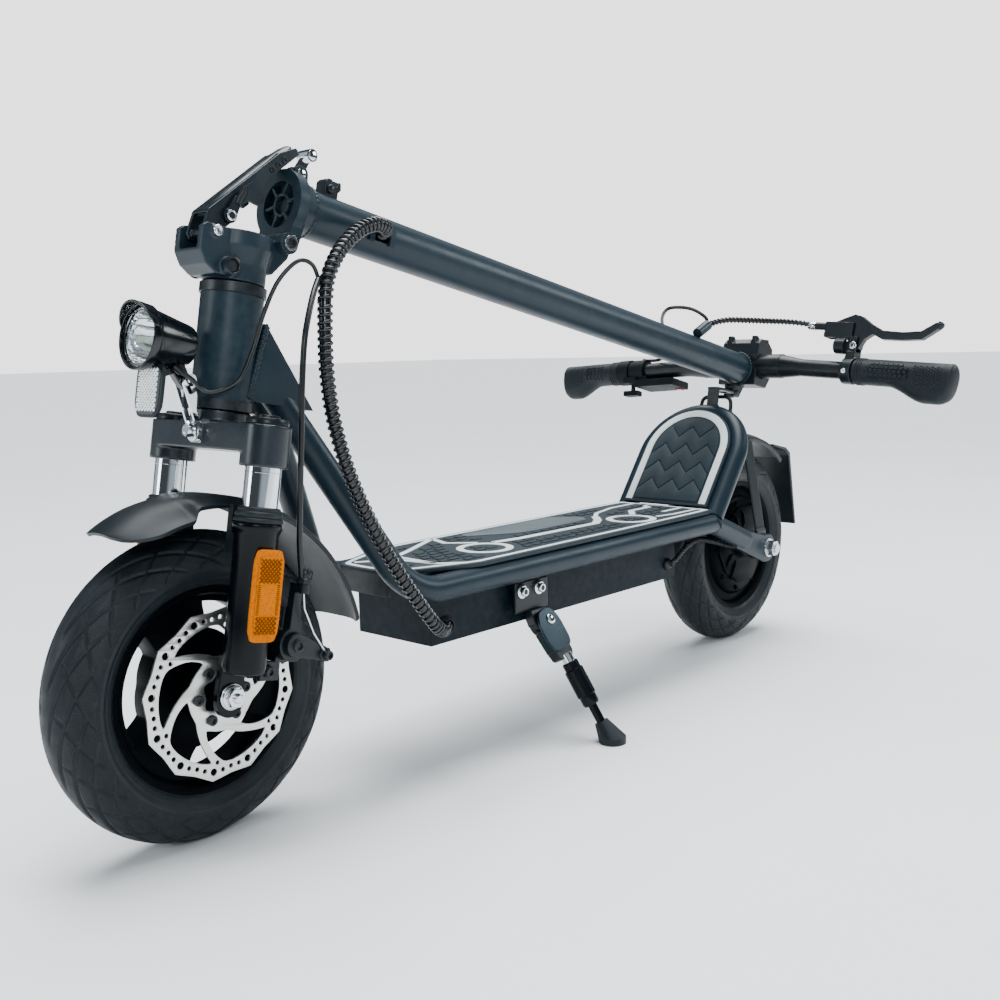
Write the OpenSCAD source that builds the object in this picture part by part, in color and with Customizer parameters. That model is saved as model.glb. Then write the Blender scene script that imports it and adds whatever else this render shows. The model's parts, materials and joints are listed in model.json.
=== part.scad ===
// Folding electric kick scooter with a suspension fork, shown folded on its side stand.
// +X points forward, +Y to the rider's left, +Z up. The origin is on the ground, below the middle.

/* [Wheels] */
// Distance between the two axles
wheelbase = 822; // [800:1:850]
// Outer diameter of both tyres
tyre_d = 255; // [252:1:258]
// Width of both tyres
tyre_w = 56; // [54:1:58]
// Diameter of the brake rotor
rotor_d = 140; // [136:1:142]
// Number of spokes in the front wheel
spoke_count = 3; // [3:1:5]

/* [Fork and steering] */
// Lean of the steering axis from upright, in degrees
rake = 10.4; // [9:0.1:12]
// Distance from the middle plane to each fork leg
leg_y = 64; // [63:0.5:66]
// Outer diameter of the chromed stanchions
stanchion_d = 28.4; // [27:0.1:29]
// Outer diameter of the lower fork legs
leg_d = 34; // [33:0.5:36]
// Outer diameter of the head tube
head_d = 51; // [49:0.5:53]

/* [Fold] */
// Angle between the folded and the upright stem
fold_angle = 91.6; // [88:0.1:94]
// Distance of the hinge pin behind the stem's centre line
pin_back = 35; // [34:0.5:36]
// Height of the hinge pin along the steering axis, above the front axle
pin_s = 368; // [366:0.5:370]
// Outer diameter of the stem tube
stem_d = 41; // [38:0.5:42]
// Distance from the hinge pin to the handlebar along the stem
bar_z = 780; // [760:1:790]

/* [Handlebar] */
// Half of the handlebar's width, to the end of a grip
bar_half = 290; // [280:1:295]
// Diameter of the handlebar in its clamp
bar_clamp_d = 31.8; // [30:0.1:32]
// Diameter of the handlebar at its ends
bar_d = 22.2; // [21:0.1:23]

/* [Deck] */
// Distance from the middle plane to each side rail
rail_y = 64; // [63:0.5:66]
// Height of the side rails' centre line
rail_z = 177.5; // [176:0.5:179]
// Outer diameter of the frame tubes
tube_d = 25.4; // [24:0.1:26]
// Half of the width of the deck mat
mat_half = 71; // [68:0.5:73]
// Angle of the rear footrest above level
rest_angle = 52.5; // [50:0.5:55]
// Underside of the battery box, above the ground
box_low = 120; // [112:1:126]
// Half of the width of the battery box
box_half = 50; // [46:0.5:50]

/* [Hidden] */

$fn = 64;
eps = 0.01;
axle_z = tyre_d / 2;
front_x = wheelbase / 2 + 10;
rear_x = front_x - wheelbase;
tread_flat = 1;
tyre_r = tyre_w / 2;
rim_r = 84;

// Fork measures along the steering axis, from the front axle
crown_lo = 192;
crown_hi = 214;
boss_lo = 181;
seal_lo = 138;
seal_hi = 150;
head_lo = 232;
head_hi = 318;
base_lo = 327.4;
face_s = pin_s - 0.3;
steerer_d = 28.6;

// Rail corner, its bend and the line of the down tube
corner = [front_x - 183.5, rail_y, rail_z];
down_dir = unit([0.452, -0.2585, 0.853]);
down_len = 236;
bend_r = 55;
rail_end_x = front_x - 686;

// Rear footrest, its plane and its outline
rest_x = front_x - 679.6;
rest_z = 198.8;
rest_half = 60;
rest_straight = 79;
hoop_drop = 17;

deck_top = 190.4;
mat_t = 4;
fender_r = 153;

// ---------- helpers ----------
function unit(v) = v / norm(v);
function mix(a, b, t) = a + (b - a) * t;
function spline(a, b, c, d, t) = 0.5 * (2 * b + (c - a) * t + (2 * a - 5 * b + 4 * c - d) * t * t
    + (3 * b - a - 3 * c + d) * t * t * t);
function smooth(p, n) = [for (i = [0 : len(p) - 2]) for (k = [0 : n - 1])
    spline(p[max(i - 1, 0)], p[i], p[i + 1], p[min(i + 2, len(p) - 1)], k / n), p[len(p) - 1]];
function side_of(t) = unit(cross(t, abs(t[2]) < 0.9 ? [0, 0, 1] : [1, 0, 0]));
function tangents(q) = [for (i = [0 : len(q) - 1])
    unit(q[min(i + 1, len(q) - 1)] - q[max(i - 1, 0)])];
function carry(t, i, s) = i >= len(t) ? [] :
    let (n = unit(s - t[i] * (s * t[i]))) concat([n], carry(t, i + 1, n));

// A round cord swept along its own points
module cord(points, d, sides, per) {
    q = smooth(points, per);
    t = tangents(q);
    n = carry(t, 0, side_of(t[0]));
    rings = [for (i = [0 : len(q) - 1]) for (k = [0 : sides - 1])
        let (a = 360 * k / sides) q[i] + d / 2 * (cos(a) * n[i] + sin(a) * cross(t[i], n[i]))];
    walls = [for (i = [0 : len(q) - 2]) for (k = [0 : sides - 1])
        let (a = i * sides + k, b = i * sides + (k + 1) % sides) each [
            [a, b, b + sides],
            [a, b + sides, a + sides]
        ]];
    first = [for (k = [0 : sides - 1]) sides - 1 - k];
    last = [for (k = [0 : sides - 1]) (len(q) - 1) * sides + k];
    polyhedron(points = rings, faces = [for (f = concat(walls, [first, last])) [f[0], each
        [for (k = [len(f) - 1 : -1 : 1]) f[k]]]]);
}

// Frame with its local z along zdir and its local x along xdir, at o
module at_frame(o, xdir, zdir) {
    y = cross(zdir, xdir);
    multmatrix([[xdir[0], y[0], zdir[0], o[0]], [xdir[1], y[1], zdir[1], o[1]],
        [xdir[2], y[2], zdir[2], o[2]], [0, 0, 0, 1]]) children();
}

// Straight round bar from a to b
module bar(a, b, d) {
    at_frame(a, side_of(unit(b - a)), unit(b - a)) cylinder(h = norm(b - a), d = d);
}

// Round tube through three points with one bend at the middle one
module bent_bar(a, c, b, d, r) {
    t1 = unit(c - a);
    t2 = unit(b - c);
    turn = acos(t1 * t2);
    reach = r * tan(turn / 2);
    n = unit(t2 - t1 * (t1 * t2));
    start = c - t1 * reach;
    bar(a, start, d);
    at_frame(start + n * r, -n, cross(t1, n))
        rotate_extrude(angle = turn) translate([r, 0]) circle(d = d);
    bar(c + t2 * reach, b, d);
}

// Turn a profile drawn as (radius, across) into a ring around the Y axis
module ring_y(start = 0, angle = 360) {
    rotate([90, 0, 0]) rotate([0, 0, start]) rotate_extrude(angle = angle, $fn = 128) children();
}
module disc_y(r, y0, y1) {
    translate([0, y0, 0]) rotate([-90, 0, 0]) cylinder(h = y1 - y0, r = r);
}
module hex_y(across, y0, y1) {
    translate([0, y0, 0]) rotate([-90, 0, 0]) cylinder(h = y1 - y0, d = across / cos(30), $fn = 6);
}
// Outline drawn in the XZ plane, from y0 to y1
module slab_y(y0, y1) {
    translate([0, y1, 0]) rotate([90, 0, 0]) linear_extrude(y1 - y0) children();
}
module disc_x(r, x0, x1) {
    translate([x0, 0, 0]) rotate([0, 90, 0]) cylinder(h = x1 - x0, r = r);
}
module box(x0, x1, y0, y1, z0, z1) {
    translate([x0, y0, z0]) cube([x1 - x0, y1 - y0, z1 - z0]);
}
module both_sides() {
    children();
    mirror([0, 1, 0]) children();
}
module fork_space() {
    translate([front_x, 0, axle_z]) rotate([0, -rake, 0]) children();
}
module stem_space() {
    fork_space() translate([-pin_back, 0, pin_s]) rotate([0, -fold_angle, 0]) children();
}
// Local x runs up the footrest, local z stands on it
module rest_space() {
    translate([rest_x, 0, rest_z]) rotate([0, 180 + rest_angle, 0]) mirror([0, 0, 1]) children();
}
// Flat strip from a to b, w wide along X and t thick
module strip(a, b, w, t) {
    at_frame(a, [1, 0, 0], unit(b - a)) translate([-w / 2, -t / 2, 0]) cube([w, t, norm(b - a)]);
}

// ---------- frame ----------
module gusset() {
    difference() {
        slab_y(-23, 23) polygon([[-8, 234], [-20, 297], [-76, 234]]);
        slab_y(-21, 21) polygon([[-8, 225], [-18.5, 295.7], [-81.4, 225]]);
    }
}
module head_tube() color("#24343c") {
    fork_space() difference() {
        union() {
            translate([0, 0, head_lo]) cylinder(h = head_hi - head_lo, d = head_d);
            gusset();
        }
        translate([0, 0, head_lo - 1]) cylinder(h = head_hi - head_lo + 2, d = head_d - 7);
    }
}
module headset() color("#101418") fork_space() difference() {
    union() {
        translate([0, 0, head_lo - 8]) cylinder(h = 8, d = head_d + 3);
        translate([0, 0, head_lo - 1]) cylinder(h = 12, d = head_d - 7.1);
        translate([0, 0, head_hi - 11]) cylinder(h = 12, d = head_d - 7.1);
        translate([0, 0, head_hi]) cylinder(h = 8, d = head_d + 3);
    }
    translate([0, 0, head_lo - 20]) cylinder(h = 130, d = steerer_d + 0.1);
}
module down_tube(extra = 0) {
    bent_bar(corner + down_dir * down_len, corner, [rail_end_x, rail_y, rail_z],
        tube_d + extra, bend_r);
}
module rail() color("#24343c") difference() {
    down_tube();
    box(-600, 600, -200, 0.05, 0, 600);
    fork_space() {
        translate([0, 0, head_lo - 12]) cylinder(h = 120, d = head_d + 0.2);
        gusset();
    }
}
module rail_left() rail();
module rail_right() mirror([0, 1, 0]) rail();
module straight_rails(extra) {
    both_sides() bar([rail_end_x - 0.2, rail_y, rail_z], [front_x - 225, rail_y, rail_z],
        tube_d + extra);
}
module tail_tubes(extra) {
    both_sides() bar([rail_end_x - 0.3, rail_y, rail_z], [front_x - 764, rail_y, 146],
        tube_d + extra);
}

module rear_hoop() color("#24343c") difference() {
    rest_space() translate([0, 0, -hoop_drop]) {
        both_sides() translate([-6, rail_y, 0]) rotate([0, 90, 0])
            cylinder(h = rest_straight + 6, d = tube_d);
        translate([rest_straight, 0, 0]) rotate([0, 0, -90])
            rotate_extrude(angle = 180, $fn = 96) translate([rail_y, 0]) circle(d = tube_d);
    }
    straight_rails(0.1);
    tail_tubes(0.1);
}
module rear_dropouts() color("#24343c") difference() {
    union() {
        tail_tubes(0);
        both_sides() {
            slab_y(60, 66) polygon([[front_x - 744, 138], [front_x - 744, 163],
                [rear_x + 8, axle_z + 18], [rear_x - 8, axle_z + 17], [rear_x - 8, axle_z - 17],
                [rear_x + 8, axle_z - 18]]);
            translate([rear_x, 0, axle_z]) disc_y(18, 60, 66);
        }
    }
    box(rail_end_x - 0.2, rail_end_x + 40, -90, 90, 150, 200);
    translate([rear_x, 0, axle_z]) disc_y(6.05, -80, 80);
}
box_x0 = front_x - 627;
box_x1 = front_x - 221.5;
module battery_box() color("#1d2b33") {
    difference() {
        union() {
            box(box_x0, box_x1, -box_half, box_half, box_low, deck_top - 3);
            for (x = [-7, 5]) box(front_x - 330 + x, front_x - 328 + x,
                -box_half - 4.5, -box_half + 1, 160.5, 165.5);
        }
        box(box_x0 + 2.5, box_x1 - 2.5, -box_half + 2.5, box_half - 2.5, box_low + 2.5, deck_top - 5);
        translate([box_x0 + 16, 0, 137]) disc_y(4, box_half - 6, box_half + 1);
        translate([front_x - 330, 0, 150]) disc_y(7.5, -box_half - 1, -box_half + 6);
    }
    translate([0, -box_half - 2.5, 163]) disc_x(1, front_x - 336, front_x - 324);
}
module battery_pack() color("#3a6ea5")
    box(front_x - 560, front_x - 240, -40, 40, box_low + 3, box_low + 54);
module deck_outline() {
    tip = front_x - 184;
    wide = front_x - 246;
    back = front_x - 684;
    polygon([[tip, -34], [tip, 34], [wide + 8, mat_half - 12], [wide - 26, mat_half],
        [back, mat_half], [back, -mat_half], [wide - 26, -mat_half], [wide + 8, -mat_half + 12]]);
}
module deck_plate() color("#16222a") {
    difference() {
        union() {
            box(front_x - 684, front_x - 186, -51, 51, deck_top - 3, deck_top);
            box(front_x - 188.5, front_x - 186, -33, 33, deck_top - 20, deck_top - 3);
        }
        both_sides() down_tube(0.2);
    }
}
module rest_outline(half, straight) {
    translate([0, -half]) square([straight, 2 * half]);
    translate([straight, 0]) circle(r = half);
}
module rubber_mats() color("#4c565a") {
    difference() {
        translate([0, 0, deck_top]) linear_extrude(mat_t) deck_outline();
        both_sides() down_tube(0.4);
        rest_space() both_sides() translate([-9, rail_y, -hoop_drop]) rotate([0, 90, 0])
            cylinder(h = 60, d = tube_d + 0.2);
    }
    rest_space() translate([0, 0, -4]) linear_extrude(4) rest_outline(rest_half, rest_straight);
}
module footrest_plate() color("#16222a") rest_space()
    translate([0, 0, -6.2]) linear_extrude(2.2) rest_outline(rest_half - 4, rest_straight);

// ---------- side stand ----------
stand_x = front_x - 366;
stand_y = 70;
stand_z = 120;
stand_tilt = 27.8;
stand_back = 9.2;
// Local y is the pivot's axis, and the leg points along local -z
module stand_space() {
    translate([stand_x, stand_y, stand_z]) rotate([stand_tilt, 0, 0]) children();
}
module stand_bracket() color("#101418") difference() {
    union() {
        box(stand_x - 12, stand_x + 38, 57, 61.5, 132, 163);
        box(stand_x - 12, stand_x + 38, box_half, 57.1, 156, 163);
        for (x = [stand_x + 4, stand_x + 30]) translate([x, 61.5 - eps, 154]) {
            rotate([-90, 0, 0]) cylinder(h = 1.5, d = 13);
            translate([0, 1.5 - eps, 0]) rotate([-90, 0, 0]) cylinder(h = 5, d = 9);
        }
        stand_space() {
            disc_y(13, -15, -3.7);
            box(-12, 14, -15, -3.7, 0, 28);
        }
    }
    stand_space() disc_y(4.05, -30, 20);
    box(stand_x - 40, stand_x + 60, 30, box_half, 100, 200);
}
module stand_leg() color("#c3c8ca") stand_space() {
    disc_y(4, -14, 5.5);
    disc_y(13, -3.4, 3.4);
    disc_y(6, 3.4 - eps, 5);
    rotate([0, stand_back, 0]) {
        box(-13, 13, -3.4, 3.4, -42, 0);
        box(-10, 10, -8, 8, -50, -28);
        translate([0, 0, -92]) cylinder(h = 50, d = 19);
        translate([0, 0, -128]) cylinder(h = 38, d = 9);
    }
}
module stand_foot() color("#20262a") difference() {
    hull() {
        stand_space() rotate([0, stand_back, 0]) translate([0, 0, -124]) cylinder(h = 10, d = 14, $fn = 32);
        translate([front_x - 388, 134, 0]) cylinder(h = 7, d = 27, $fn = 32);
    }
    stand_space() rotate([0, stand_back, 0]) translate([0, 0, -128.1]) cylinder(h = 50, d = 9.1);
}

// ---------- rear end ----------
module fender_profile(r, half, fall = 0) {
    low = r - 7 - fall;
    mid = r - 2 - fall / 2;
    flat = half - 8 - fall;
    polygon([[low, -half - 3], [low, -half], [mid, -half], [r + 1, -flat], [r + 1, flat],
        [mid, half], [low, half], [low, half + 3], [mid + 2, half + 3], [r + 4, flat],
        [r + 4, -flat], [mid + 2, -half - 3]]);
}
module rear_fender() color("#181d20") translate([rear_x, 0, axle_z]) {
    ring_y(84, 48) fender_profile(143, 31);
    both_sides() {
        strip([6, 57.8, 20], [2, 35.5, 138], 22, 3);
        translate([6, 0, 0]) slab_y(56.3, 60) polygon([[-11, 13], [11, 13], [11, 24], [-11, 24]]);
    }
}
module tail_lamp() color("#15181a") {
    slab_y(-30, 30) polygon([[front_x - 900, 252.5], [front_x - 900, 255.5], [front_x - 936, 248],
        [front_x - 948, 240], [front_x - 966, 138], [front_x - 962, 137.5], [front_x - 943, 236],
        [front_x - 934, 244.5]]);
    slab_y(-16, 16) polygon([[front_x - 946, 234], [front_x - 957, 231], [front_x - 962, 204],
        [front_x - 951, 202]]);
}
// The wire loop stands in the plane of the hook's travel
module hook_loop() color("#101418") {
    stem_space() {
        both_sides() bar([-10, 22, 721], [-31, 22, 721], 4.5);
        bar([-10, -24.2, 721], [-10, 24.2, 721], 4.5);
    }
    both_sides() bar([front_x - 800, 22, 303.4], [front_x - 788, 22, 301], 4.5);
}
module rear_axle() color("#c8ccce") translate([rear_x, 0, axle_z]) {
    disc_y(6, -80, 80);
    for (side = [-1, 1]) {
        disc_y(12, side < 0 ? -68.5 : 66, side < 0 ? -66 : 68.5);
        hex_y(18, side < 0 ? -77 : 68.4, side < 0 ? -68.4 : 77);
        disc_y(9, side < 0 ? -60 : 56, side < 0 ? -56 : 60);
    }
}
motor_lead_route = [[box_x0 + 16, 50, 137], [box_x0 + 12, 58, 141], [box_x0 - 2, 61, 152],
    [box_x0 - 22, 60, 158], [-252, 56, 158], [-290, 50, 150], [-330, 46, 139], [-365, 44, 131],
    [-388, 43, 127.5]];
module motor_lead() color("#111111") cord(motor_lead_route, 5, 8, 4);
module charge_cap() color("#0c0e10") difference() {
    union() {
        translate([front_x - 330, 0, 150]) disc_y(10, -box_half - 3.2, -box_half - 0.2);
        translate([front_x - 330, 0, 150]) disc_y(6.6, -box_half - 0.3, -box_half + 0.8);
        box(front_x - 334, front_x - 326, -box_half - 3.2, -box_half - 0.2, 155, 161.5);
        translate([0, -box_half - 2.5, 163]) disc_x(2.2, front_x - 334, front_x - 326);
    }
    translate([0, -box_half - 2.5, 163]) disc_x(1.05, front_x - 340, front_x - 320);
}

// ---------- steering ----------
module fork_crown() color("#14181b") fork_space() difference() {
    union() {
        box(-19, 19, -leg_y, leg_y, crown_lo, crown_hi);
        both_sides() translate([0, leg_y, boss_lo]) cylinder(h = crown_hi - boss_lo, d = 38);
        translate([0, 0, crown_hi - eps]) cylinder(h = head_lo - 8.3 - crown_hi, d = 48);
        translate([0, 0, crown_hi]) cylinder(h = base_lo + 14 - crown_hi, d = steerer_d);
    }
    both_sides() translate([0, leg_y, boss_lo - 1]) cylinder(h = 60, d = stanchion_d);
}
module stanchions() color("#d8dcde") fork_space() both_sides() translate([0, leg_y, 0]) difference() {
    union() {
        translate([0, 0, 62]) cylinder(h = crown_hi - 62, d = stanchion_d);
        translate([0, 0, crown_hi]) cylinder(h = 5, d = 31);
        translate([0, 0, crown_hi + 5 - eps]) cylinder(h = 3, d = 14, $fn = 6);
    }
    translate([0, 0, 61]) cylinder(h = 140, d = stanchion_d - 4.4);
}
module hinge_base() color("#22313a") fork_space() difference() {
    union() {
        translate([0, 0, base_lo]) cylinder(h = 14, r = 25);
        translate([0, 0, base_lo + 14 - eps]) cylinder(h = 14, r1 = 25, r2 = 28);
        translate([0, 0, base_lo + 28 - 2 * eps]) cylinder(h = face_s - base_lo - 28, r = 28);
        slab_y(-19, 19) polygon([[0, base_lo + 2], [30, base_lo + 2], [40, base_lo + 8],
            [46, base_lo + 18], [46, face_s - 4], [42, face_s - 0.5], [0, face_s - 0.5]]);
        slab_y(-14.5, 14.5) polygon([[-10, 338], [-26, 340], [-40, 356], [-43, 364], [-35, 368],
            [-10, 366]]);
        translate([-pin_back, 0, pin_s]) disc_y(9, -14.5, 14.5);
        translate([20, 0, 337]) disc_y(7, 18, 25);
        translate([34, 0, 362]) disc_y(4.5, 18, 21);
    }
    translate([0, 0, base_lo - 1]) cylinder(h = 16, d = steerer_d + 0.1);
    slab_y(-12.6, 12.6) polygon([[21, 342], [50, 348], [50, 380], [21, 380]]);
    translate([36, 0, 361]) disc_y(3.05, -17.2, 17.2);
    translate([-pin_back, 0, pin_s]) disc_y(4.05, -30, 30);
    both_sides() translate([-pin_back, 0, pin_s]) disc_y(9.7, 14.6, 40);
}
module hinge_pin() color("#c8ccce") fork_space() translate([-pin_back, 0, pin_s]) {
    disc_y(4, -23, 23);
    both_sides() disc_y(6.5, 22.3, 25);
}
module headlamp() color("#14181b") fork_space() {
    difference() {
        union() {
            translate([38, 0, 271]) rotate([0, 90, 0]) cylinder(h = 36, r1 = 16, r2 = 25);
            translate([0, 0, 271]) disc_x(26, 74 - eps, 81);
            difference() {
                translate([0, 0, 271]) disc_x(26, 81 - eps, 94);
                slab_y(-30, 30) polygon([[82, 240], [82, 262], [96, 288], [96, 240]]);
            }
            slab_y(-4, 4) polygon([[33, 239], [41, 239], [52, 252], [60, 252], [60, 258], [42, 262]]);
        }
        translate([0, 0, 271]) disc_x(23.2, 76, 98);
        translate([56, 0, 271]) rotate([0, 90, 0]) cylinder(h = 20.1, r1 = 9, r2 = 21);
        translate([37, 0, 244]) disc_y(2.55, -10, 10);
    }
    box(64, 68, -15, 15, 214, 248);
    slab_y(-4, 4) polygon([[64.5, 236], [64.5, 243], [44.5, 251.5], [42.5, 248]]);
}
module lamp_lens() color("#e8eef0") fork_space() translate([0, 0, 271]) disc_x(23, 77, 80);
module lamp_bracket() color("#d5d9db") fork_space() {
    both_sides() slab_y(5, 7) polygon([[19.2, 200], [26, 200], [27.5, 211], [42, 241], [41, 248],
        [34, 249], [28.4, 233], [27.8, 222], [24.6, 213.8], [19.2, 213.8]]);
    box(19.2, 21.2, -7, 7, 196, 213.8);
    translate([0, 0, 205]) disc_x(7.5, 21.2 - eps, 24);
    translate([0, 0, 205]) disc_x(4.5, 24 - eps, 31);
    translate([37, 0, 244]) disc_y(2.5, -11, 11);
    both_sides() translate([37, 0, 244]) disc_y(5, 7 - eps, 10);
}
lamp_lead_route = [[314, 50, 452], [322, 52, 464], [335, 50, 466], [350, 43, 450], [362, 38, 424],
    [372, 35, 396], [386, 33, 372], [402, 22, 364], [409, 15.5, 368], [415, 13, 375],
    [421, 9.5, 380], [424.5, 7, 383.6]];
module lamp_lead() color("#111111") cord(lamp_lead_route, 3.6, 8, 4);
stem_conduit_route = [[215.6, 17.6, 496.9], [219, 29.5, 500], [240, 39.5, 502], [264, 45, 495],
    [285, 50, 482], [300, 54, 468], [310, 56, 452], [315, 58, 434]];
module stem_conduit() color("#0d0f11") cord(stem_conduit_route, 12, 12, 5);
deck_conduit_route = [[315.4, 58.2, 432.4], [318, 60, 410], [319, 61, 380], [316, 62, 345],
    [310, 66, 310], [299, 70, 275], [283, 74, 240], [264, 79, 205], [247, 83, 178],
    [229, 83, 155], [210, 74, 142], [195, 63, 137], [185, box_half + 5.2, 136]];
module deck_conduit() color("#0d0f11") cord(deck_conduit_route, 12, 12, 5);

// ---------- fork, sliding ----------
module lower_legs() color("#14181b") fork_space() {
    both_sides() difference() {
        union() {
            translate([0, leg_y, 20]) cylinder(h = seal_lo - 20, d = leg_d);
            translate([0, leg_y, seal_lo - 9]) cylinder(h = 9, d = leg_d + 4);
            disc_y(20, 46, 52);
            box(-13, 13, 46, 52, 0, 44);
        }
        translate([0, leg_y, 34]) cylinder(h = 120, d = stanchion_d + 0.1);
        disc_y(5.05, 40, 60);
    }
    for (s = [14, 58]) box(-40, -12, 47, 55, s, s + 12);
}
module dust_seals() color("#0c0e10") fork_space() both_sides() translate([0, leg_y, 0]) difference() {
    union() {
        translate([0, 0, seal_lo]) cylinder(h = 4, d = leg_d + 5);
        translate([0, 0, seal_lo + 4 - eps]) cylinder(h = seal_hi - seal_lo - 4, d = leg_d + 1);
    }
    translate([0, 0, seal_lo - 1]) cylinder(h = 20, d = stanchion_d + 0.1);
}
module front_axle() color("#c8ccce") fork_space() {
    disc_y(5, -62, 62);
    both_sides() {
        disc_y(8, 41.8, 46);
        disc_y(11.5, 52, 54);
        hex_y(17, 54 - eps, 62.8);
    }
}
module front_fender() color("#1c2124") fork_space() {
    difference() {
        union() {
            ring_y(76, 82.5) fender_profile(fender_r, 37);
            ring_y(50.5, 26) fender_profile(fender_r, 42.5, 6);
        }
        both_sides() hull() {
            translate([128, 90, 40]) cylinder(h = 140, r = 60);
            translate([190, 90, 40]) cylinder(h = 140, r = 60);
        }
    }
    both_sides() {
        box(-10, 10, 39.5, 43.8, 112, 150);
        box(-10, 10, 43.7, 47, 112, 128);
    }
}
module side_reflectors() color("#f09a10") fork_space() both_sides() slab_y(leg_y + 17.1, leg_y + 24)
    polygon([[-7, 45], [7, 45], [13, 52], [13, 114], [7, 121], [-7, 121], [-13, 114], [-13, 52]]);
module coil(turns, lo, hi, r, wire, per, sides) {
    n = turns * per;
    rings = [for (i = [0 : n]) for (k = [0 : sides - 1])
        let (a = 360 * i / per, b = 360 * k / sides) [(r + wire / 2 * cos(b)) * cos(a),
            (r + wire / 2 * cos(b)) * sin(a), mix(lo, hi, i / n) + wire / 2 * sin(b)]];
    walls = [for (i = [0 : n - 1]) for (k = [0 : sides - 1])
        let (a = i * sides + k, b = i * sides + (k + 1) % sides) each [
            [a, b + sides, b],
            [a, a + sides, b + sides]
        ]];
    polyhedron(points = rings, faces = concat(walls, [[for (k = [0 : sides - 1]) k],
        [for (k = [sides - 1 : -1 : 0]) n * sides + k]]));
}
module fork_springs() color("#b8bcbe") fork_space() both_sides() translate([0, leg_y, 0])
    coil(9, 37, 198, 9, 3, 12, 6);

// ---------- brake ----------
module brake_caliper() color("#101316") fork_space() difference() {
    union() {
        box(-60, -34, 31, 56, 26, 60);
        translate([-44, 0, 42]) disc_y(14, 56 - eps, 68);
        box(-39, -20, 55.2, 59, 12, 28);
        box(-39, -20, 55.2, 59, 56, 72);
        box(-39, -34, 50, 59, 12, 72);
        slab_y(60, 68) polygon([[-50, 52], [-38, 52], [-39, 74], [-40, 92], [-48, 92], [-47, 74]]);
        translate([-44, 73.5, 84]) cylinder(h = 9, r = 5);
        box(-48, -40, 66, 74, 84, 92);
        for (s = [20, 64]) translate([-26, 0, s]) disc_y(4.5, 59 - eps, 63);
    }
    box(-66, -30, 36.3, 39.7, 10, 90);
    box(-41, -12, 46, 55.2, 13, 27.1);
    box(-41, -12, 46, 55.2, 57, 71);
    translate([-44, 0, 42]) disc_y(5.05, 60, 80);
    translate([-44, 73.5, 80]) cylinder(h = 20, r = 3.1);
}
module brake_arm() color("#8d9396") fork_space() {
    translate([-44, 0, 42]) disc_y(5, 61, 74);
    translate([-44, 0, 42]) disc_y(10, 68.4, 73);
    slab_y(69, 73) polygon([[-40, 33], [-50, 51], [-77, 39], [-78, 31], [-72, 29]]);
    translate([-73, 0, 34]) disc_y(4, 69, 77);
}
brake_cable_route = [[318, 54, 452], [330, 62, 440], [343, 70, 420], [351, 74, 400],
    [356, 75, 365], [359, 75, 325], [362, 74, 280], [364, 73.5, 245], [363.5, 73.5, 214]];
module brake_cable() color("#0c0e10") cord(brake_cable_route, 5, 8, 5);
module front_rim() color("#0e1113") fork_space() difference() {
    union() {
        ring_y() polygon([[77, -22], [86, -22], [86, -19], [82, -16], [82, 16], [86, 19], [86, 22],
            [77, 22], [74, 12], [74, -12]]);
        disc_y(24, -38, 24);
        disc_y(27, 24 - eps, 37);
        for (a = [0 : 360 / spoke_count : 359]) rotate([0, a + 60, 0]) box(20, 76, -19, 19, -10, 10);
    }
    disc_y(5.06, -50, 50);
    for (a = [0 : 5]) rotate([0, 12 - 60 * a, 0]) translate([22, 0, 0]) disc_y(2.5, 26, 40);
}
module tyre() {
    ring_y() intersection() {
        difference() {
            translate([axle_z - tyre_r + tread_flat, 0]) circle(r = tyre_r);
            translate([axle_z - tyre_r - 1, 0]) circle(r = tyre_r - 6);
        }
        translate([86.1, -40]) square([axle_z - 86.1, 80]);
    }
}
module front_tyre() color("#15181a") fork_space() tyre();
module brake_rotor() color("#b9bec0") fork_space() difference() {
    union() {
        difference() {
            disc_y(rotor_d / 2, 37.05, 39);
            disc_y(57, 36, 40);
        }
        disc_y(28, 37.05, 39);
        for (a = [0 : 5]) rotate([0, 60 * a, 0]) slab_y(37.05, 39)
            polygon([[16, 18], [24, 12], [44, 24], [62, 20], [62, 27], [42, 33]]);
    }
    disc_y(12, 30, 45);
    for (a = [0 : 5]) rotate([0, 12 - 60 * a, 0]) translate([22, 0, 0]) disc_y(2.5, 36, 40);
    for (a = [0 : 11]) rotate([0, 30 * a, 0]) translate([64, 0, 0]) disc_y(3.2, 36, 40);
    for (a = [0 : 11]) rotate([0, 30 * a + 15, 0]) translate([76, 0, 0]) disc_y(9, 36, 40);
}
module rotor_bolts() color("#22272a") fork_space()
    for (a = [0 : 5]) rotate([0, 12 - 60 * a, 0]) translate([22, 0, 0]) {
        disc_y(2.45, 28, 39.1);
        disc_y(4.2, 39, 41.4);
    }
module motor_hub() color("#0f1214") translate([rear_x, 0, axle_z]) difference() {
    union() {
        disc_y(68, -24, 24);
        disc_y(30, -32, 32);
        ring_y() polygon([[66, -22], [86, -22], [86, -19], [82, -16], [82, 16], [86, 19], [86, 22],
            [66, 22]]);
    }
    disc_y(6.05, -50, 50);
    for (a = [0 : 5]) rotate([0, 60 * a, 0]) translate([50, 0, 0]) disc_y(3, 18, 30);
}
module rear_tyre() color("#15181a") translate([rear_x, 0, axle_z]) tyre();

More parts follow.
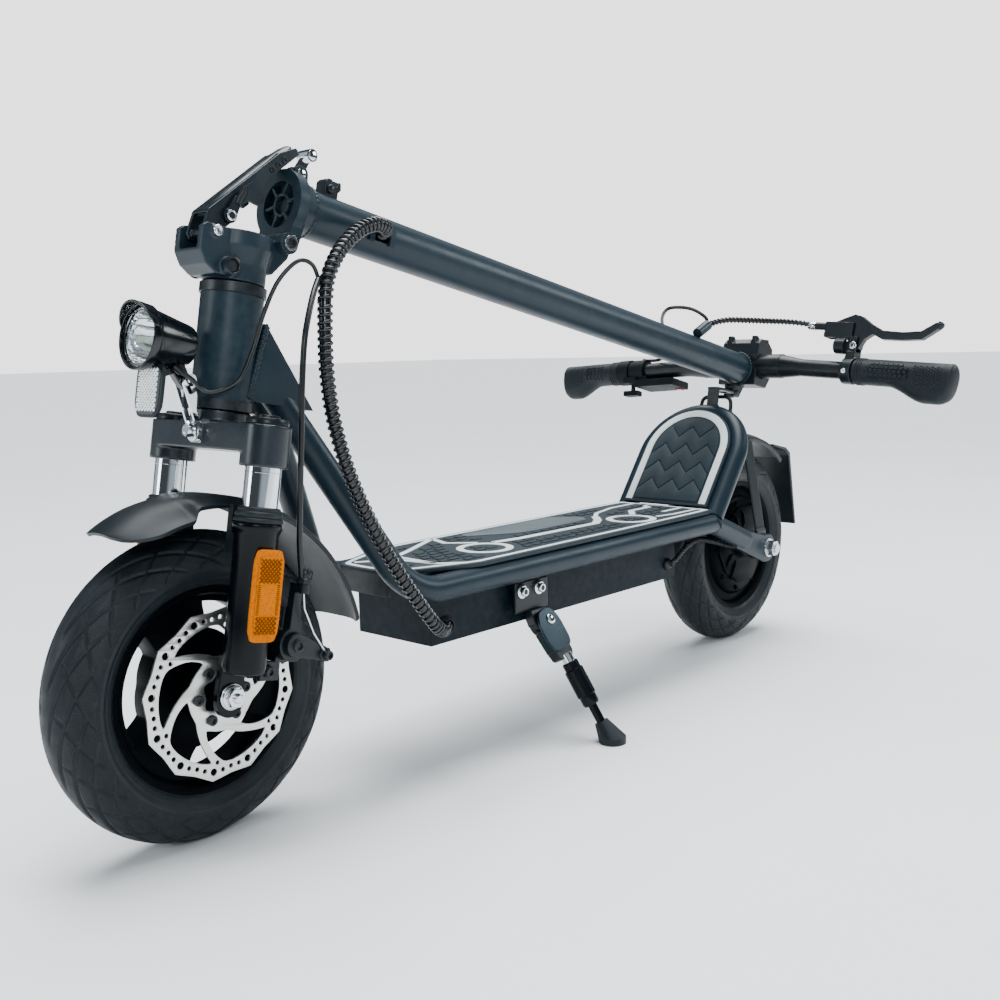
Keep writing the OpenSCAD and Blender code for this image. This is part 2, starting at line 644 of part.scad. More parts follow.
// ---------- stem ----------
module stem_tube() color("#24343c") stem_space() {
    difference() {
        union() {
            translate([pin_back, 0, 8]) cylinder(h = bar_z - 24, d = stem_d);
            translate([pin_back, 0, 0]) cylinder(h = 10, r = 30);
            translate([pin_back, 0, 10 - eps]) cylinder(h = 14, r1 = 28, r2 = 22.5);
            both_sides() {
                translate([0, 15, 0]) rotate([-90, 0, 0]) cylinder(h = 7, r = 9);
                slab_y(15, 22) polygon([[0, 0], [24, 0], [24, 14], [0, 9]]);
            }
            both_sides() {
                translate([64.5, 0, 14.5]) disc_y(7, 4, 7);
                slab_y(4, 7) polygon([[50, 3], [62, 8], [64.5, 21.5], [50, 23]]);
            }
        }
        translate([pin_back, 0, -1]) cylinder(h = 8, r = 20);
        translate([pin_back, 0, 30]) cylinder(h = bar_z, d = stem_d - 5);
        disc_y(9.7, -14.9, 14.9);
        disc_y(4.05, -30, 30);
        translate([64.5, 0, 14.5]) disc_y(7, -3.7, 3.7);
        for (z = [92, 99, 106]) translate([pin_back, 0, z]) disc_y(7, 10, 26);
        translate([pin_back, 0, 99]) box(-7, 7, 10, 26, -7, 7);
    }
    translate([64.5, 0, 14.5]) disc_y(3, -7, 7);
    box(54, 69, -6, 6, 43, 54);
    for (z = [88, 112]) difference() {
        translate([pin_back, 0, z]) box(-9, 9, 19, 22, -3, 3);
        translate([pin_back, 0, 0]) cylinder(h = 200, d = stem_d - 5);
    }
    translate([58, 8, 645]) rotate([0, 35, 0]) cylinder(h = 26, d = 13);
}
bar_x = 41;
bar_dir = unit([-18, 240, -12]);
// Local z runs out along one side of the handlebar, local x away from the rider
module bar_side(side = 1) {
    mirror([0, side < 0 ? 1 : 0, 0]) at_frame([bar_x, 52, bar_z], side_of(bar_dir), bar_dir) children();
}
module bar_clamp() color("#1d2a31") stem_space() difference() {
    union() {
        slab_y(-27, 27) polygon([[14, bar_z - 15.7], [56, bar_z - 15.7], [70, bar_z - 13],
            [77, bar_z - 6], [77, bar_z + 10], [68, bar_z + 24], [30, bar_z + 26],
            [14, bar_z + 16]]);
        both_sides() slab_y(4, 8) polygon([[-5, bar_z - 31], [13, bar_z - 31],
            [13.9, bar_z - 15.8], [22, bar_z - 15], [22, bar_z - 5], [14, bar_z - 5],
            [-4, bar_z - 17]]);
        for (y = [-18, 18]) for (z = [-9, 19]) translate([0, y, bar_z + z]) disc_x(4.5, 60, 80);
        translate([1, 0, bar_z - 25]) disc_y(3, -10, 10);
    }
    translate([bar_x, 0, bar_z]) disc_y((bar_clamp_d + 0.1) / 2, -60, 60);
}
module handlebar() color("#141a1e") stem_space() difference() {
    union() {
        translate([bar_x, 0, bar_z]) disc_y(bar_clamp_d / 2, -58, 58);
        for (side = [-1, 1]) bar_side(side) {
            translate([0, 0, 4]) cylinder(h = 30, d1 = bar_clamp_d - 1, d2 = bar_d);
            cylinder(h = bar_half - 56, d = bar_d);
        }
    }
    for (side = [-1, 1]) bar_side(side) translate([0, 0, 40]) cylinder(h = 300, d = bar_d - 4);
}
// Ergonomic grip with a palm rest on the rider's side
module grip(start) {
    difference() {
        union() {
            translate([0, 0, start]) cylinder(h = bar_half - 50 - start, d = 33);
            hull() {
                translate([-8, 0, bar_half - 122]) sphere(r = 9, $fn = 32);
                translate([-24, 0, bar_half - 85]) sphere(r = 9, $fn = 32);
                translate([-26, 0, bar_half - 70]) sphere(r = 8, $fn = 32);
                translate([0, 0, bar_half - 62]) sphere(r = 11, $fn = 32);
            }
        }
        translate([0, 0, start - 20]) cylinder(h = bar_half - 34 - start, d = bar_d + 0.1);
    }
}
module grips() color("#14191c") stem_space() {
    bar_side(1) grip(112);
    bar_side(-1) grip(144);
}
module perch_pin(r, lo, hi) {
    translate([31, 0, 105]) rotate([90, 0, 0]) translate([0, 0, lo]) cylinder(h = hi - lo, r = r);
}
module brake_perch() color("#101417") stem_space() bar_side(1) difference() {
    union() {
        translate([0, 0, 96]) cylinder(h = 14, r = 17);
        box(10, 42, -9, 9, 97, 109);
        box(14, 23, -11, 11, 98, 108);
        box(40, 60, -9, 9, 62, 101);
        translate([55, 0, 38]) cylinder(h = 26, r = 5);
        perch_pin(2.4, -11, 11);
        translate([30, 4, 80]) cylinder(h = 14, r = 10);
    }
    translate([0, 0, 80]) cylinder(h = 50, d = bar_d + 0.1);
    box(24, 70, -5.5, 5.5, 98.5, 130);
    box(37, 70, -5.5, 5.5, 64, 130);
    translate([55, 0, 30]) cylinder(h = 40, r = 2.6);
}
module brake_lever() color("#161b1f") stem_space() bar_side(1) {
    difference() {
        rotate([90, 0, 0]) translate([0, 0, -5]) linear_extrude(10) polygon([[31, 100], [27, 104],
            [28, 110], [40, 116], [47, 126], [41, 139], [41, 165], [43, 190], [57, 209], [63, 211],
            [64, 205], [53, 188], [51, 165], [52, 139], [60, 122], [69, 108], [71, 99], [66, 86],
            [60, 72], [52, 70], [52, 80], [46, 92], [40, 98]]);
        perch_pin(2.45, -12, 12);
    }
}
module display() color("#0d1012") stem_space() bar_side(-1) difference() {
    union() {
        translate([0, 0, 100]) cylinder(h = 20, r = 17);
        translate([0, 0, 124.5]) cylinder(h = 18.5, r = 18);
        box(-20, -8, -12, 12, 96, 120);
        box(-24, -14, -30, 16, 50, 112);
        box(-18, -10, 12, 17, 110, 130);
    }
    translate([0, 0, 90]) cylinder(h = 60, d = bar_d + 0.1);
    translate([-24.5, -20, 58]) box(-1, 5, -4.5, 4.5, -4.5, 4.5);
}
module power_button() color("#c22a2a") stem_space() bar_side(-1)
    translate([-24, -20, 58]) box(-1.6, 2, -4.2, 4.2, -4.2, 4.2);
module throttle() color("#14181b") stem_space() bar_side(-1) difference() {
    union() {
        translate([0, 0, 120.5]) cylinder(h = 3.6, r = 15.5);
        box(-30, -8, -2, 4, 120.5, 124.1);
        box(-34, -27, -8, 5, 113, 136);
    }
    translate([0, 0, 110]) cylinder(h = 30, d = bar_d + 0.1);
}
lever_lead_route = [[73.6, 10.2, 667.3], [77.5, 12, 674], [84, 22, 690], [88, 36, 712], [92, 52, 738],
    [95, 66, 758], [96, 78, 771], [95.6, 87, 776.3], [94.3, 90, 777.5]];
module lever_lead() color("#0c0e10") stem_space() cord(lever_lead_route, 8, 10, 4);
throttle_lead_route = [[73.5, 3.9, 667], [77.5, 3.6, 671.5], [84, 2, 668], [89, -3, 648], [88, -10, 628],
    [84, -22, 618], [76, -44, 640], [66, -76, 700], [56, -108, 752], [50, -130, 770], [49, -150, 773]];
module throttle_lead() color("#0c0e10") stem_space() cord(throttle_lead_route, 4.5, 8, 4);

// ---------- latch and hook ----------
module latch_space() {
    fork_space() translate([36, 0, 361]) rotate([0, -45, 0]) children();
}
module latch_lever() color("#15191c") latch_space() {
    both_sides() slab_y(8.5, 11.5) polygon([[-5, -3], [-1, -6], [4, -5], [13, 10], [13, 100],
        [8, 117], [3, 117], [3, 94], [2, 72], [-2, 66], [-9, 61], [-9, 54], [-1, 48], [0, 38],
        [-5, 30], [-6, 22]]);
    slab_y(-11.5, 11.5) polygon([[9, 13], [13, 9], [14, 12], [14, 100], [9, 117], [5, 116], [10, 99]]);
    disc_y(3, -17, 17);
    translate([0, 0, 24]) disc_y(2.4, 11, 17);
    translate([0, 0, 24]) disc_y(4, 15.4, 17);
}
module safety_catch() color("#0f1214") latch_space() difference() {
    union() {
        translate([0, 0, 24]) disc_y(6, 12, 15);
        slab_y(12, 15) polygon([[-5, 26], [5, 24], [10, 38], [4, 42]]);
    }
    translate([0, 0, 24]) disc_y(2.45, 10, 20);
}
module eyebolt() color("#caced0") stem_space() difference() {
    union() {
        translate([64.5, 0, 14.5]) disc_y(6, -3.3, 3.3);
        slab_y(-3.2, 3.2) polygon([[66, 11], [84, 20], [82, 26], [63, 18.5]]);
        translate([83, 0, 23]) disc_y(5.5, -7.5, 7.5);
    }
    translate([64.5, 0, 14.5]) disc_y(3.05, -10, 10);
}
module fold_hook() color("#101417") stem_space() difference() {
    union() {
        translate([1, 0, bar_z - 25]) disc_y(7, -3.4, 3.4);
        slab_y(-3.4, 3.4) polygon([[-5, 752], [7, 752], [4, 736], [1, 728], [1, 712], [-24, 710],
            [-24, 715.5], [-9, 717.5], [-6.5, 721], [-8, 725], [-11, 738]]);
    }
    translate([1, 0, bar_z - 25]) disc_y(3.05, -10, 10);
}

// ---------- the part ----------
head_tube();
headset();
rail_left();
rail_right();
rear_hoop();
rear_dropouts();
battery_box();
battery_pack();
hinge_pin();
deck_plate();
rubber_mats();
footrest_plate();
stand_bracket();
rear_fender();
tail_lamp();
hook_loop();
rear_axle();
motor_lead();
charge_cap();
fork_crown();
stanchions();
hinge_base();
headlamp();
lamp_lens();
lamp_bracket();
lamp_lead();
deck_conduit();
lower_legs();
dust_seals();
front_axle();
front_fender();
side_reflectors();
brake_caliper();
fork_springs();
brake_cable();
brake_arm();
front_rim();
front_tyre();
brake_rotor();
rotor_bolts();
motor_hub();
rear_tyre();
stand_leg();
stand_foot();
stem_tube();
bar_clamp();
handlebar();
grips();
brake_perch();
display();
stem_conduit();
lever_lead();
throttle_lead();
brake_lever();
throttle();
power_button();
latch_lever();
safety_catch();
eyebolt();
fold_hook();
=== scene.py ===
import json
import math
import bpy
import bmesh
from mathutils import Matrix, Vector


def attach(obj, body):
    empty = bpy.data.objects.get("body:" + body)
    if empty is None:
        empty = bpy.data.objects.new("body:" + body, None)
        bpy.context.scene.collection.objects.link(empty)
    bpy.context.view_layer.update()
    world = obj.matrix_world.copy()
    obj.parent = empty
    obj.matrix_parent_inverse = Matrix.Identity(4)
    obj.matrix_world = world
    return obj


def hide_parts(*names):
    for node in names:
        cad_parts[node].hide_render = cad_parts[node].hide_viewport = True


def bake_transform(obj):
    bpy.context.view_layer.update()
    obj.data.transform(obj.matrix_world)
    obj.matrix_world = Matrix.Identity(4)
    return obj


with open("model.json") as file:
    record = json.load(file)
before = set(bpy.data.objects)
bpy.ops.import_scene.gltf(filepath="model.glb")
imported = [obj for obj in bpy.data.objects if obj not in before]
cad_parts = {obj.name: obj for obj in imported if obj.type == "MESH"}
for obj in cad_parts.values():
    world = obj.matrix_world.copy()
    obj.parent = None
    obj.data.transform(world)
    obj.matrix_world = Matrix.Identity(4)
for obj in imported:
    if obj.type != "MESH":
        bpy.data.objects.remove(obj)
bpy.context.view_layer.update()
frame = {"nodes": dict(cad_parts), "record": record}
pi, cos, sin = math.pi, math.cos, math.sin
rad = math.radians

# ---------------------------------------------------------------- camera, light, floor
def new_object(name, data):
    o = bpy.data.objects.new(name, data)
    bpy.context.scene.collection.objects.link(o)
    return o


cam = new_object("camera", bpy.data.cameras.new("camera"))
bpy.context.scene.camera = cam
back = Vector((0.73507, 0.66506, 0.13181)).normalized()
right = Vector((-0.66846, 0.74339, -0.02304))
right = (right - back * right.dot(back)).normalized()
up = back.cross(right)
cam.matrix_world = Matrix(((right.x, up.x, back.x, 0.9223), (right.y, up.y, back.y, 0.7942),
                           (right.z, up.z, back.z, 0.3936), (0, 0, 0, 1)))
cam.data.sensor_width = 36
cam.data.lens = 41.2
cam.data.clip_start = 0.01


def area(name, pos, aim, size, power, size_y=None, colour=(1, 1, 1)):
    light = bpy.data.lights.new(name, "AREA")
    light.energy = power
    light.size = size
    light.color = colour
    if size_y:
        light.shape = "RECTANGLE"
        light.size_y = size_y
    o = new_object(name, light)
    o.location = pos
    o.rotation_mode = "QUATERNION"
    o.rotation_quaternion = (Vector(pos) - Vector(aim)).to_track_quat("Z", "Y")


sun = new_object("sun", bpy.data.lights.new("sun", "SUN"))
sun.data.energy = 5.2
sun.data.angle = rad(50)
sun.data.color = (0.95, 0.98, 1.0)
sun.rotation_euler = (rad(12), rad(-16), 0)
area("key", (0.1, 0.5, 2.4), (0.0, 0.0, 0.2), 1.6, 34, 1.2, (0.93, 0.98, 1.0))
area("front", (1.9, 1.9, 1.5), (0.2, 0.0, 0.3), 0.9, 24, 0.7, (0.9, 0.97, 1.0))
area("side", (2.3, -1.0, 1.0), (0.3, 0.0, 0.3), 0.8, 14, 0.9, (0.9, 0.97, 1.0))
area("rim", (-1.7, 1.2, 1.3), (0.0, 0.0, 0.3), 1.0, 18, 0.6, (0.9, 0.97, 1.0))
world = bpy.data.worlds.new("studio")
bpy.context.scene.world = world
world.use_nodes = True
sky = world.node_tree
soft = sky.nodes["Background"]
soft.inputs["Strength"].default_value = 0.62
turn = sky.nodes.new("ShaderNodeTexGradient")
turn.gradient_type = "RADIAL"
sky.links.new(sky.nodes.new("ShaderNodeTexCoord").outputs["Generated"], turn.inputs["Vector"])
bands = sky.nodes.new("ShaderNodeValToRGB")
# bright and dark bands round the horizon, as (place round it, brightness), for the reflections
stops = ((0.0, 0.95), (0.07, 0.95), (0.11, 0.1), (0.27, 0.1), (0.32, 1.0), (0.4, 1.0), (0.45, 0.12),
         (0.6, 0.12), (0.66, 0.8), (0.76, 0.8), (0.82, 0.08), (0.95, 0.08), (1.0, 0.95))
while len(bands.color_ramp.elements) < len(stops):
    bands.color_ramp.elements.new(0.5)
for e, (at, level) in zip(bands.color_ramp.elements, stops):
    e.position = at
for e, (at, level) in zip(bands.color_ramp.elements, stops):
    e.color = (0.8 * level, 0.92 * level, level, 1)
sky.links.new(turn.outputs["Fac"], bands.inputs["Fac"])
sky.links.new(bands.outputs["Color"], soft.inputs["Color"])
seen = sky.nodes.new("ShaderNodeBackground")
seen.inputs["Color"].default_value = (1, 1, 1, 1)
seen.inputs["Strength"].default_value = 2.45
choose = sky.nodes.new("ShaderNodeMixShader")
sky.links.new(sky.nodes.new("ShaderNodeLightPath").outputs["Is Camera Ray"], choose.inputs["Fac"])
sky.links.new(soft.outputs["Background"], choose.inputs[1])
sky.links.new(seen.outputs["Background"], choose.inputs[2])
sky.links.new(choose.outputs["Shader"], sky.nodes["World Output"].inputs["Surface"])


# ---------------------------------------------------------------- materials
def rgba(c):
    return (c[0], c[1], c[2], 1)


class Nodes:
    """Small helper that strings shader nodes together."""

    def __init__(self, name):
        self.m = bpy.data.materials.new(name)
        self.m.use_nodes = True
        self.t = self.m.node_tree
        self.b = self.t.nodes["Principled BSDF"]
        self.co = self.t.nodes.new("ShaderNodeTexCoord").outputs["Object"]

    def new(self, kind, **values):
        n = self.t.nodes.new("ShaderNode" + kind)
        for k, v in values.items():
            if hasattr(n, k):
                setattr(n, k, v)
            else:
                n.inputs[k.replace("_", " ")].default_value = v
        return n

    def set(self, **values):
        """Plain values of the shader's own sockets."""
        for k, v in values.items():
            self.b.inputs[k.replace("_", " ")].default_value = v

    def link(self, a, b):
        self.t.links.new(a, b)

    def sum(self, operation, *terms):
        n = self.new("Math", operation=operation)
        for socket, term in zip(n.inputs, terms):
            if isinstance(term, float):
                socket.default_value = term
            else:
                self.link(term, socket)
        return n.outputs["Value"]

    def noise(self, scale, detail=3, rough=0.5, stretch=None):
        n = self.new("TexNoise", Scale=scale, Detail=detail, Roughness=rough)
        if stretch:
            m = self.new("Mapping")
            m.inputs["Scale"].default_value = stretch
            self.link(self.co, m.inputs["Vector"])
            self.link(m.outputs["Vector"], n.inputs["Vector"])
        else:
            self.link(self.co, n.inputs["Vector"])
        return n.outputs["Fac"]

    def blend(self, fac, a, b, lo=0.35, hi=0.65):
        r = self.new("ValToRGB")
        r.color_ramp.elements[0].position = lo
        r.color_ramp.elements[1].position = hi
        r.color_ramp.elements[0].color = rgba(a)
        r.color_ramp.elements[1].color = rgba(b)
        self.link(fac, r.inputs["Fac"])
        return r.outputs["Color"]

    def spread(self, fac, lo, hi):
        r = self.new("MapRange")
        r.inputs["From Min"].default_value = 0.3
        r.inputs["From Max"].default_value = 0.7
        r.inputs["To Min"].default_value = lo
        r.inputs["To Max"].default_value = hi
        self.link(fac, r.inputs["Value"])
        return r.outputs["Result"]

    def bump(self, height, distance, strength=1.0, under=None):
        n = self.new("Bump", Distance=distance, Strength=strength)
        self.link(height, n.inputs["Height"])
        if under is not None:
            self.link(under, n.inputs["Normal"])
        return n.outputs["Normal"]


CLOUD = 14.0


def finish_of(name, base, other, rough, metal, coat, grain, depth, bevel=0.0, spec=0.5, stretch=None,
              edge=None):
    """Paint, plastic or metal: clouds between two colours, a fine grain, and edges worn to a third colour."""
    n = Nodes(name)
    colour = n.blend(n.noise(CLOUD, 4), base, other)
    round_edge = None
    if bevel:
        bv = n.new("Bevel", samples=4)
        bv.inputs["Radius"].default_value = bevel
        round_edge = bv.outputs["Normal"]
    if edge:
        g = n.new("NewGeometry")
        r = n.new("MapRange")
        r.inputs["From Min"].default_value = 0.53
        r.inputs["From Max"].default_value = 0.62
        n.link(g.outputs["Pointiness"], r.inputs["Value"])
        worn = n.sum("MULTIPLY", r.outputs["Result"], n.spread(n.noise(120, 4), 0.0, 0.7))
        mx = n.new("Mix", data_type="RGBA")
        n.link(worn, mx.inputs["Factor"])
        n.link(colour, mx.inputs["A"])
        mx.inputs["B"].default_value = rgba(edge)
        colour = mx.outputs["Result"]
    n.link(colour, n.b.inputs["Base Color"])
    n.link(n.spread(n.noise(CLOUD * 3, 5), *rough), n.b.inputs["Roughness"])
    n.link(n.bump(n.noise(grain, 2, 0.5, stretch), depth, 1.0, round_edge), n.b.inputs["Normal"])
    n.set(Metallic=metal, Specular_IOR_Level=spec, Coat_Weight=coat, Coat_Roughness=0.18)
    return n.m


BLUE_BLACK = ((0.0058, 0.0152, 0.0235), (0.0074, 0.0186, 0.0285))
PAINT = finish_of("frame_paint", *BLUE_BLACK, (0.34, 0.42), 0, 0.03, 1500, 0.00005, bevel=0.0007,
                  edge=(0.02, 0.035, 0.045), spec=0.24)
PAINT_TUBE = finish_of("frame_paint_tube", *BLUE_BLACK, (0.34, 0.42), 0, 0.03, 1500, 0.00005, spec=0.24)
CAST_PAINT = finish_of("cast_paint", *BLUE_BLACK, (0.34, 0.42), 0, 0, 900, 0.00006, edge=(0.02, 0.035, 0.045),
                       spec=0.34)
GLOSS = finish_of("fork_gloss", (0.0005, 0.0016, 0.003), (0.0008, 0.0022, 0.004), (0.2, 0.28), 0.0, 0, 500,
                  0.00002, spec=0.16)
# the wheels' black: darker than the fork's gloss black and almost without reflection; the darkening is
# painted shade for the dimly lit rims and hubs
SHADED_WHEEL_BLACK = finish_of("wheel_black_shaded", (0.0003, 0.0012, 0.0022), (0.0005, 0.0016, 0.003), (0.34, 0.44), 0, 0,
                500, 0.00003, spec=0.03)
# the battery box's paint: the frame's blue-black made much darker, painted shade for its sides that face down
# and get little light
SHADED_BOX_PAINT = finish_of("box_paint_shaded", (0.001, 0.0042, 0.0082), (0.0014, 0.0052, 0.01), (0.42, 0.52), 0, 0,
                1500, 0.00005, bevel=0.0007, edge=(0.008, 0.016, 0.022), spec=0.12)
CROWN = finish_of("crown_black", (0.0036, 0.009, 0.0135), (0.0046, 0.0108, 0.016), (0.26, 0.36), 0,
                  0.04, 700, 0.00004, spec=0.45)
FENDER = finish_of("fender_plastic", (0.004, 0.0085, 0.0115), (0.005, 0.0102, 0.0138), (0.38, 0.48), 0,
                   0, 1300, 0.00007, spec=0.3)
DULL = finish_of("dull_plastic", (0.0016, 0.0036, 0.0052), (0.0024, 0.0046, 0.0066), (0.5, 0.6), 0, 0, 1300,
                 0.00007, spec=0.15)
SATIN = finish_of("black_metal", (0.002, 0.0045, 0.0068), (0.003, 0.006, 0.0088), (0.28, 0.38), 0,
                  0.02, 900, 0.00005, bevel=0.0006, edge=(0.03, 0.035, 0.04), spec=0.3)
CAST = finish_of("cast_black", (0.0022, 0.0052, 0.008), (0.0032, 0.007, 0.0102), (0.3, 0.4), 0, 0.02, 800,
                 0.00006, edge=(0.02, 0.026, 0.03), spec=0.32)
PLASTIC = finish_of("black_plastic", (0.0034, 0.0068, 0.0095), (0.0046, 0.0088, 0.012), (0.4, 0.5), 0,
                    0, 1300, 0.00008, bevel=0.0006, spec=0.34)
MOULDED = finish_of("moulded_plastic", (0.0034, 0.0068, 0.0095), (0.0046, 0.0088, 0.012), (0.34, 0.44),
                    0, 0, 1300, 0.00008, spec=0.42)
SHINY = finish_of("gloss_plastic", (0.0012, 0.0028, 0.0044), (0.0018, 0.0038, 0.0056), (0.14, 0.22), 0,
                  0.1, 300, 0.00002, spec=0.4)
RUBBER = finish_of("rubber", (0.004, 0.0082, 0.0115), (0.0056, 0.0106, 0.0145), (0.46, 0.6), 0, 0,
                   1100, 0.0001, spec=0.3)
CHROME = finish_of("chrome", (0.72, 0.76, 0.79), (0.8, 0.84, 0.87), (0.05, 0.1), 1.0, 0, 200, 0.000008)
ZINC = finish_of("zinc", (0.6, 0.63, 0.65), (0.72, 0.74, 0.76), (0.14, 0.26), 1.0, 0, 400, 0.00003,
                 bevel=0.0004)
STEEL = finish_of("brushed_steel", (0.62, 0.62, 0.6), (0.72, 0.72, 0.7), (0.3, 0.42), 1.0, 0, 700, 0.00004,
                  bevel=0.0003, stretch=(0.2, 1, 3))
ALLOY = finish_of("stamped_steel", (0.018, 0.028, 0.035), (0.028, 0.04, 0.048), (0.24, 0.34), 1.0, 0,
                  500, 0.00005, bevel=0.0006)
CABLE = finish_of("cable", (0.0018, 0.0034, 0.005), (0.0026, 0.0046, 0.0064), (0.28, 0.38), 0, 0.05,
                  600, 0.00004, spec=0.4)
LOOM = finish_of("loom", (0.0014, 0.0028, 0.0042), (0.0022, 0.0038, 0.0054), (0.2, 0.3), 0, 0.1, 400, 0.00003)
WHITE = finish_of("white_print", (0.72, 0.76, 0.77), (0.78, 0.82, 0.83), (0.5, 0.6), 0, 0, 900, 0.0001)
GREY = finish_of("grey_rubber", (0.06, 0.08, 0.092), (0.078, 0.102, 0.115), (0.55, 0.7), 0, 0, 1000, 0.0001)
MAT = finish_of("mat_rubber", (0.012, 0.0215, 0.0285), (0.0155, 0.027, 0.035), (0.52, 0.66), 0, 0,
                900, 0.00012, spec=0.3)
RED = finish_of("red_plastic", (0.4, 0.015, 0.012), (0.48, 0.02, 0.016), (0.2, 0.3), 0, 0.4, 300, 0.00003)
BLUE = finish_of("battery_wrap", (0.02, 0.09, 0.25), (0.025, 0.11, 0.29), (0.4, 0.5), 0, 0, 500, 0.00005)


KNURL_PER_MM = 2.6


def tyre_material():
    n = Nodes("tyre")
    n.link(n.blend(n.noise(30, 5), (0.0026, 0.006, 0.0088), (0.0042, 0.0084, 0.0118)),
           n.b.inputs["Base Color"])
    n.link(n.spread(n.noise(90, 5), 0.42, 0.6), n.b.inputs["Roughness"])
    uv = n.new("UVMap", uv_map="along").outputs["UV"]
    sep = n.new("SeparateXYZ")
    n.link(uv, sep.inputs["Vector"])
    waves = []
    for slope in (KNURL_PER_MM, -KNURL_PER_MM):
        along = n.sum("MULTIPLY", sep.outputs["X"], KNURL_PER_MM)
        across = n.sum("MULTIPLY", sep.outputs["Y"], slope)
        waves.append(n.sum("SINE", n.sum("ADD", along, across)))
    knurl = n.new("Attribute", attribute_name="knurl")
    k = n.sum("MULTIPLY", n.sum("MULTIPLY", *waves), knurl.outputs["Fac"])
    nrm = n.bump(k, 0.00022)
    nrm = n.bump(n.noise(900, 2), 0.00008, 1.0, nrm)
    n.link(nrm, n.b.inputs["Normal"])
    n.set(Specular_IOR_Level=0.3)
    return n.m


def lens_material(name, colour, cells, rough=0.08, metal=0.15, coat=0.5, spec=0.5):
    n = Nodes(name)
    v = n.new("TexVoronoi", feature="F1", Scale=cells)
    n.link(n.co, v.inputs["Vector"])
    n.link(n.blend(v.outputs["Distance"], colour, tuple(min(1, c * 1.3) for c in colour), 0.1, 0.6),
           n.b.inputs["Base Color"])
    n.link(n.bump(v.outputs["Distance"], 0.0006), n.b.inputs["Normal"])
    n.link(n.spread(n.noise(200), rough, rough * 2), n.b.inputs["Roughness"])
    n.set(Coat_Weight=coat, Coat_Roughness=0.05, Specular_IOR_Level=spec, Metallic=metal)
    return n.m


def glass_material():
    n = Nodes("clear_lens")
    n.link(n.blend(n.noise(40), (0.93, 0.96, 0.98), (0.97, 0.99, 1.0)), n.b.inputs["Base Color"])
    n.set(Roughness=0.03, Transmission_Weight=1.0, IOR=1.2)
    n.link(n.bump(n.noise(150), 0.0001), n.b.inputs["Normal"])
    return n.m


TYRE = tyre_material()
AMBER = lens_material("amber", (0.47, 0.118, 0.0), 420, 0.4, 0, 0.0, 0.0)
AMBER_DARK = lens_material("amber_prism", (0.16, 0.042, 0.0), 600, 0.3, 0, 0.0, 0.06)
CLEAR_REF = lens_material("clear_reflector", (0.055, 0.065, 0.07), 500, 0.3, 0, 0.0, 0.15)
CLEAR_RIB = lens_material("clear_prism", (0.82, 0.85, 0.86), 500, 0.3, 0, 0.1)
RED_REF = lens_material("red_lamp", (0.3, 0.008, 0.006), 500, 0.1)
MIRROR = lens_material("lamp_bowl", (0.8, 0.82, 0.83), 160, 0.06, 1.0)
LED = lens_material("led", (0.86, 0.84, 0.66), 300, 0.3, 0)
GLASS = glass_material()

# ---------------------------------------------------------------- places, in metres out of millimetres
PART = Matrix.Scale(0.001, 4)
AXLE_X, WHEEL_R = 421, 127.5        # front axle ahead of the part's middle, and the wheels' radius
LEG_Y = 64                          # half the distance between the fork's legs


def T(x, y, z):
    return Matrix.Translation((x, y, z))


def R(angle, axis):
    return Matrix.Rotation(rad(angle), 4, axis)


def mirror(side):
    """Nothing for side 1, left and right swapped for side -1."""
    return Matrix.Scale(-1, 4, (0, 1, 0)) if side < 0 else Matrix.Identity(4)


FORK = PART @ T(AXLE_X, 0, WHEEL_R) @ R(-10.4, "Y")
STEM = FORK @ T(-35, 0, 368) @ R(-91.6, "Y")
REAR = PART @ T(-401, 0, WHEEL_R)
REST = PART @ Matrix(((-0.60876, 0, 0.79335, -258.6), (0, 1, 0, 0), (0.79335, 0, 0.60876, 198.8),
                      (0, 0, 0, 1)))
STAND = PART @ T(55, 70, 120) @ R(27.8, "X") @ R(9.2, "Y")
LATCH = FORK @ T(36, 0, 361) @ R(-45, "Y")


def bar_place(side):
    d = Vector((-18, 240, -12)).normalized()
    x = d.cross(Vector((0, 0, 1))).normalized()
    y = d.cross(x)
    m = Matrix(((x.x, y.x, d.x, 41), (x.y, y.y, d.y, 52), (x.z, y.z, d.z, 780), (0, 0, 0, 1)))
    return STEM @ mirror(side) @ m


BAR_L, BAR_R = bar_place(1), bar_place(-1)
SIDE_TO_Y = R(-90, "X")
SWAP_YZ = Matrix(((1, 0, 0, 0), (0, 0, 1, 0), (0, 1, 0, 0), (0, 0, 0, 1)))
ACROSS = Matrix(((0, 0, 1, 0), (1, 0, 0, 0), (0, 1, 0, 0), (0, 0, 0, 1)))


# ---------------------------------------------------------------- mesh kit
def quads(rows, cols, round_rows=False, round_cols=True):
    """The faces of a grid of points given row by row, closed round in either direction."""
    def at(i, j):
        return i % rows * cols + j % cols
    return [[at(i, j), at(i, j + 1), at(i + 1, j + 1), at(i + 1, j)]
            for i in range(rows if round_rows else rows - 1) for j in range(cols if round_cols else cols - 1)]


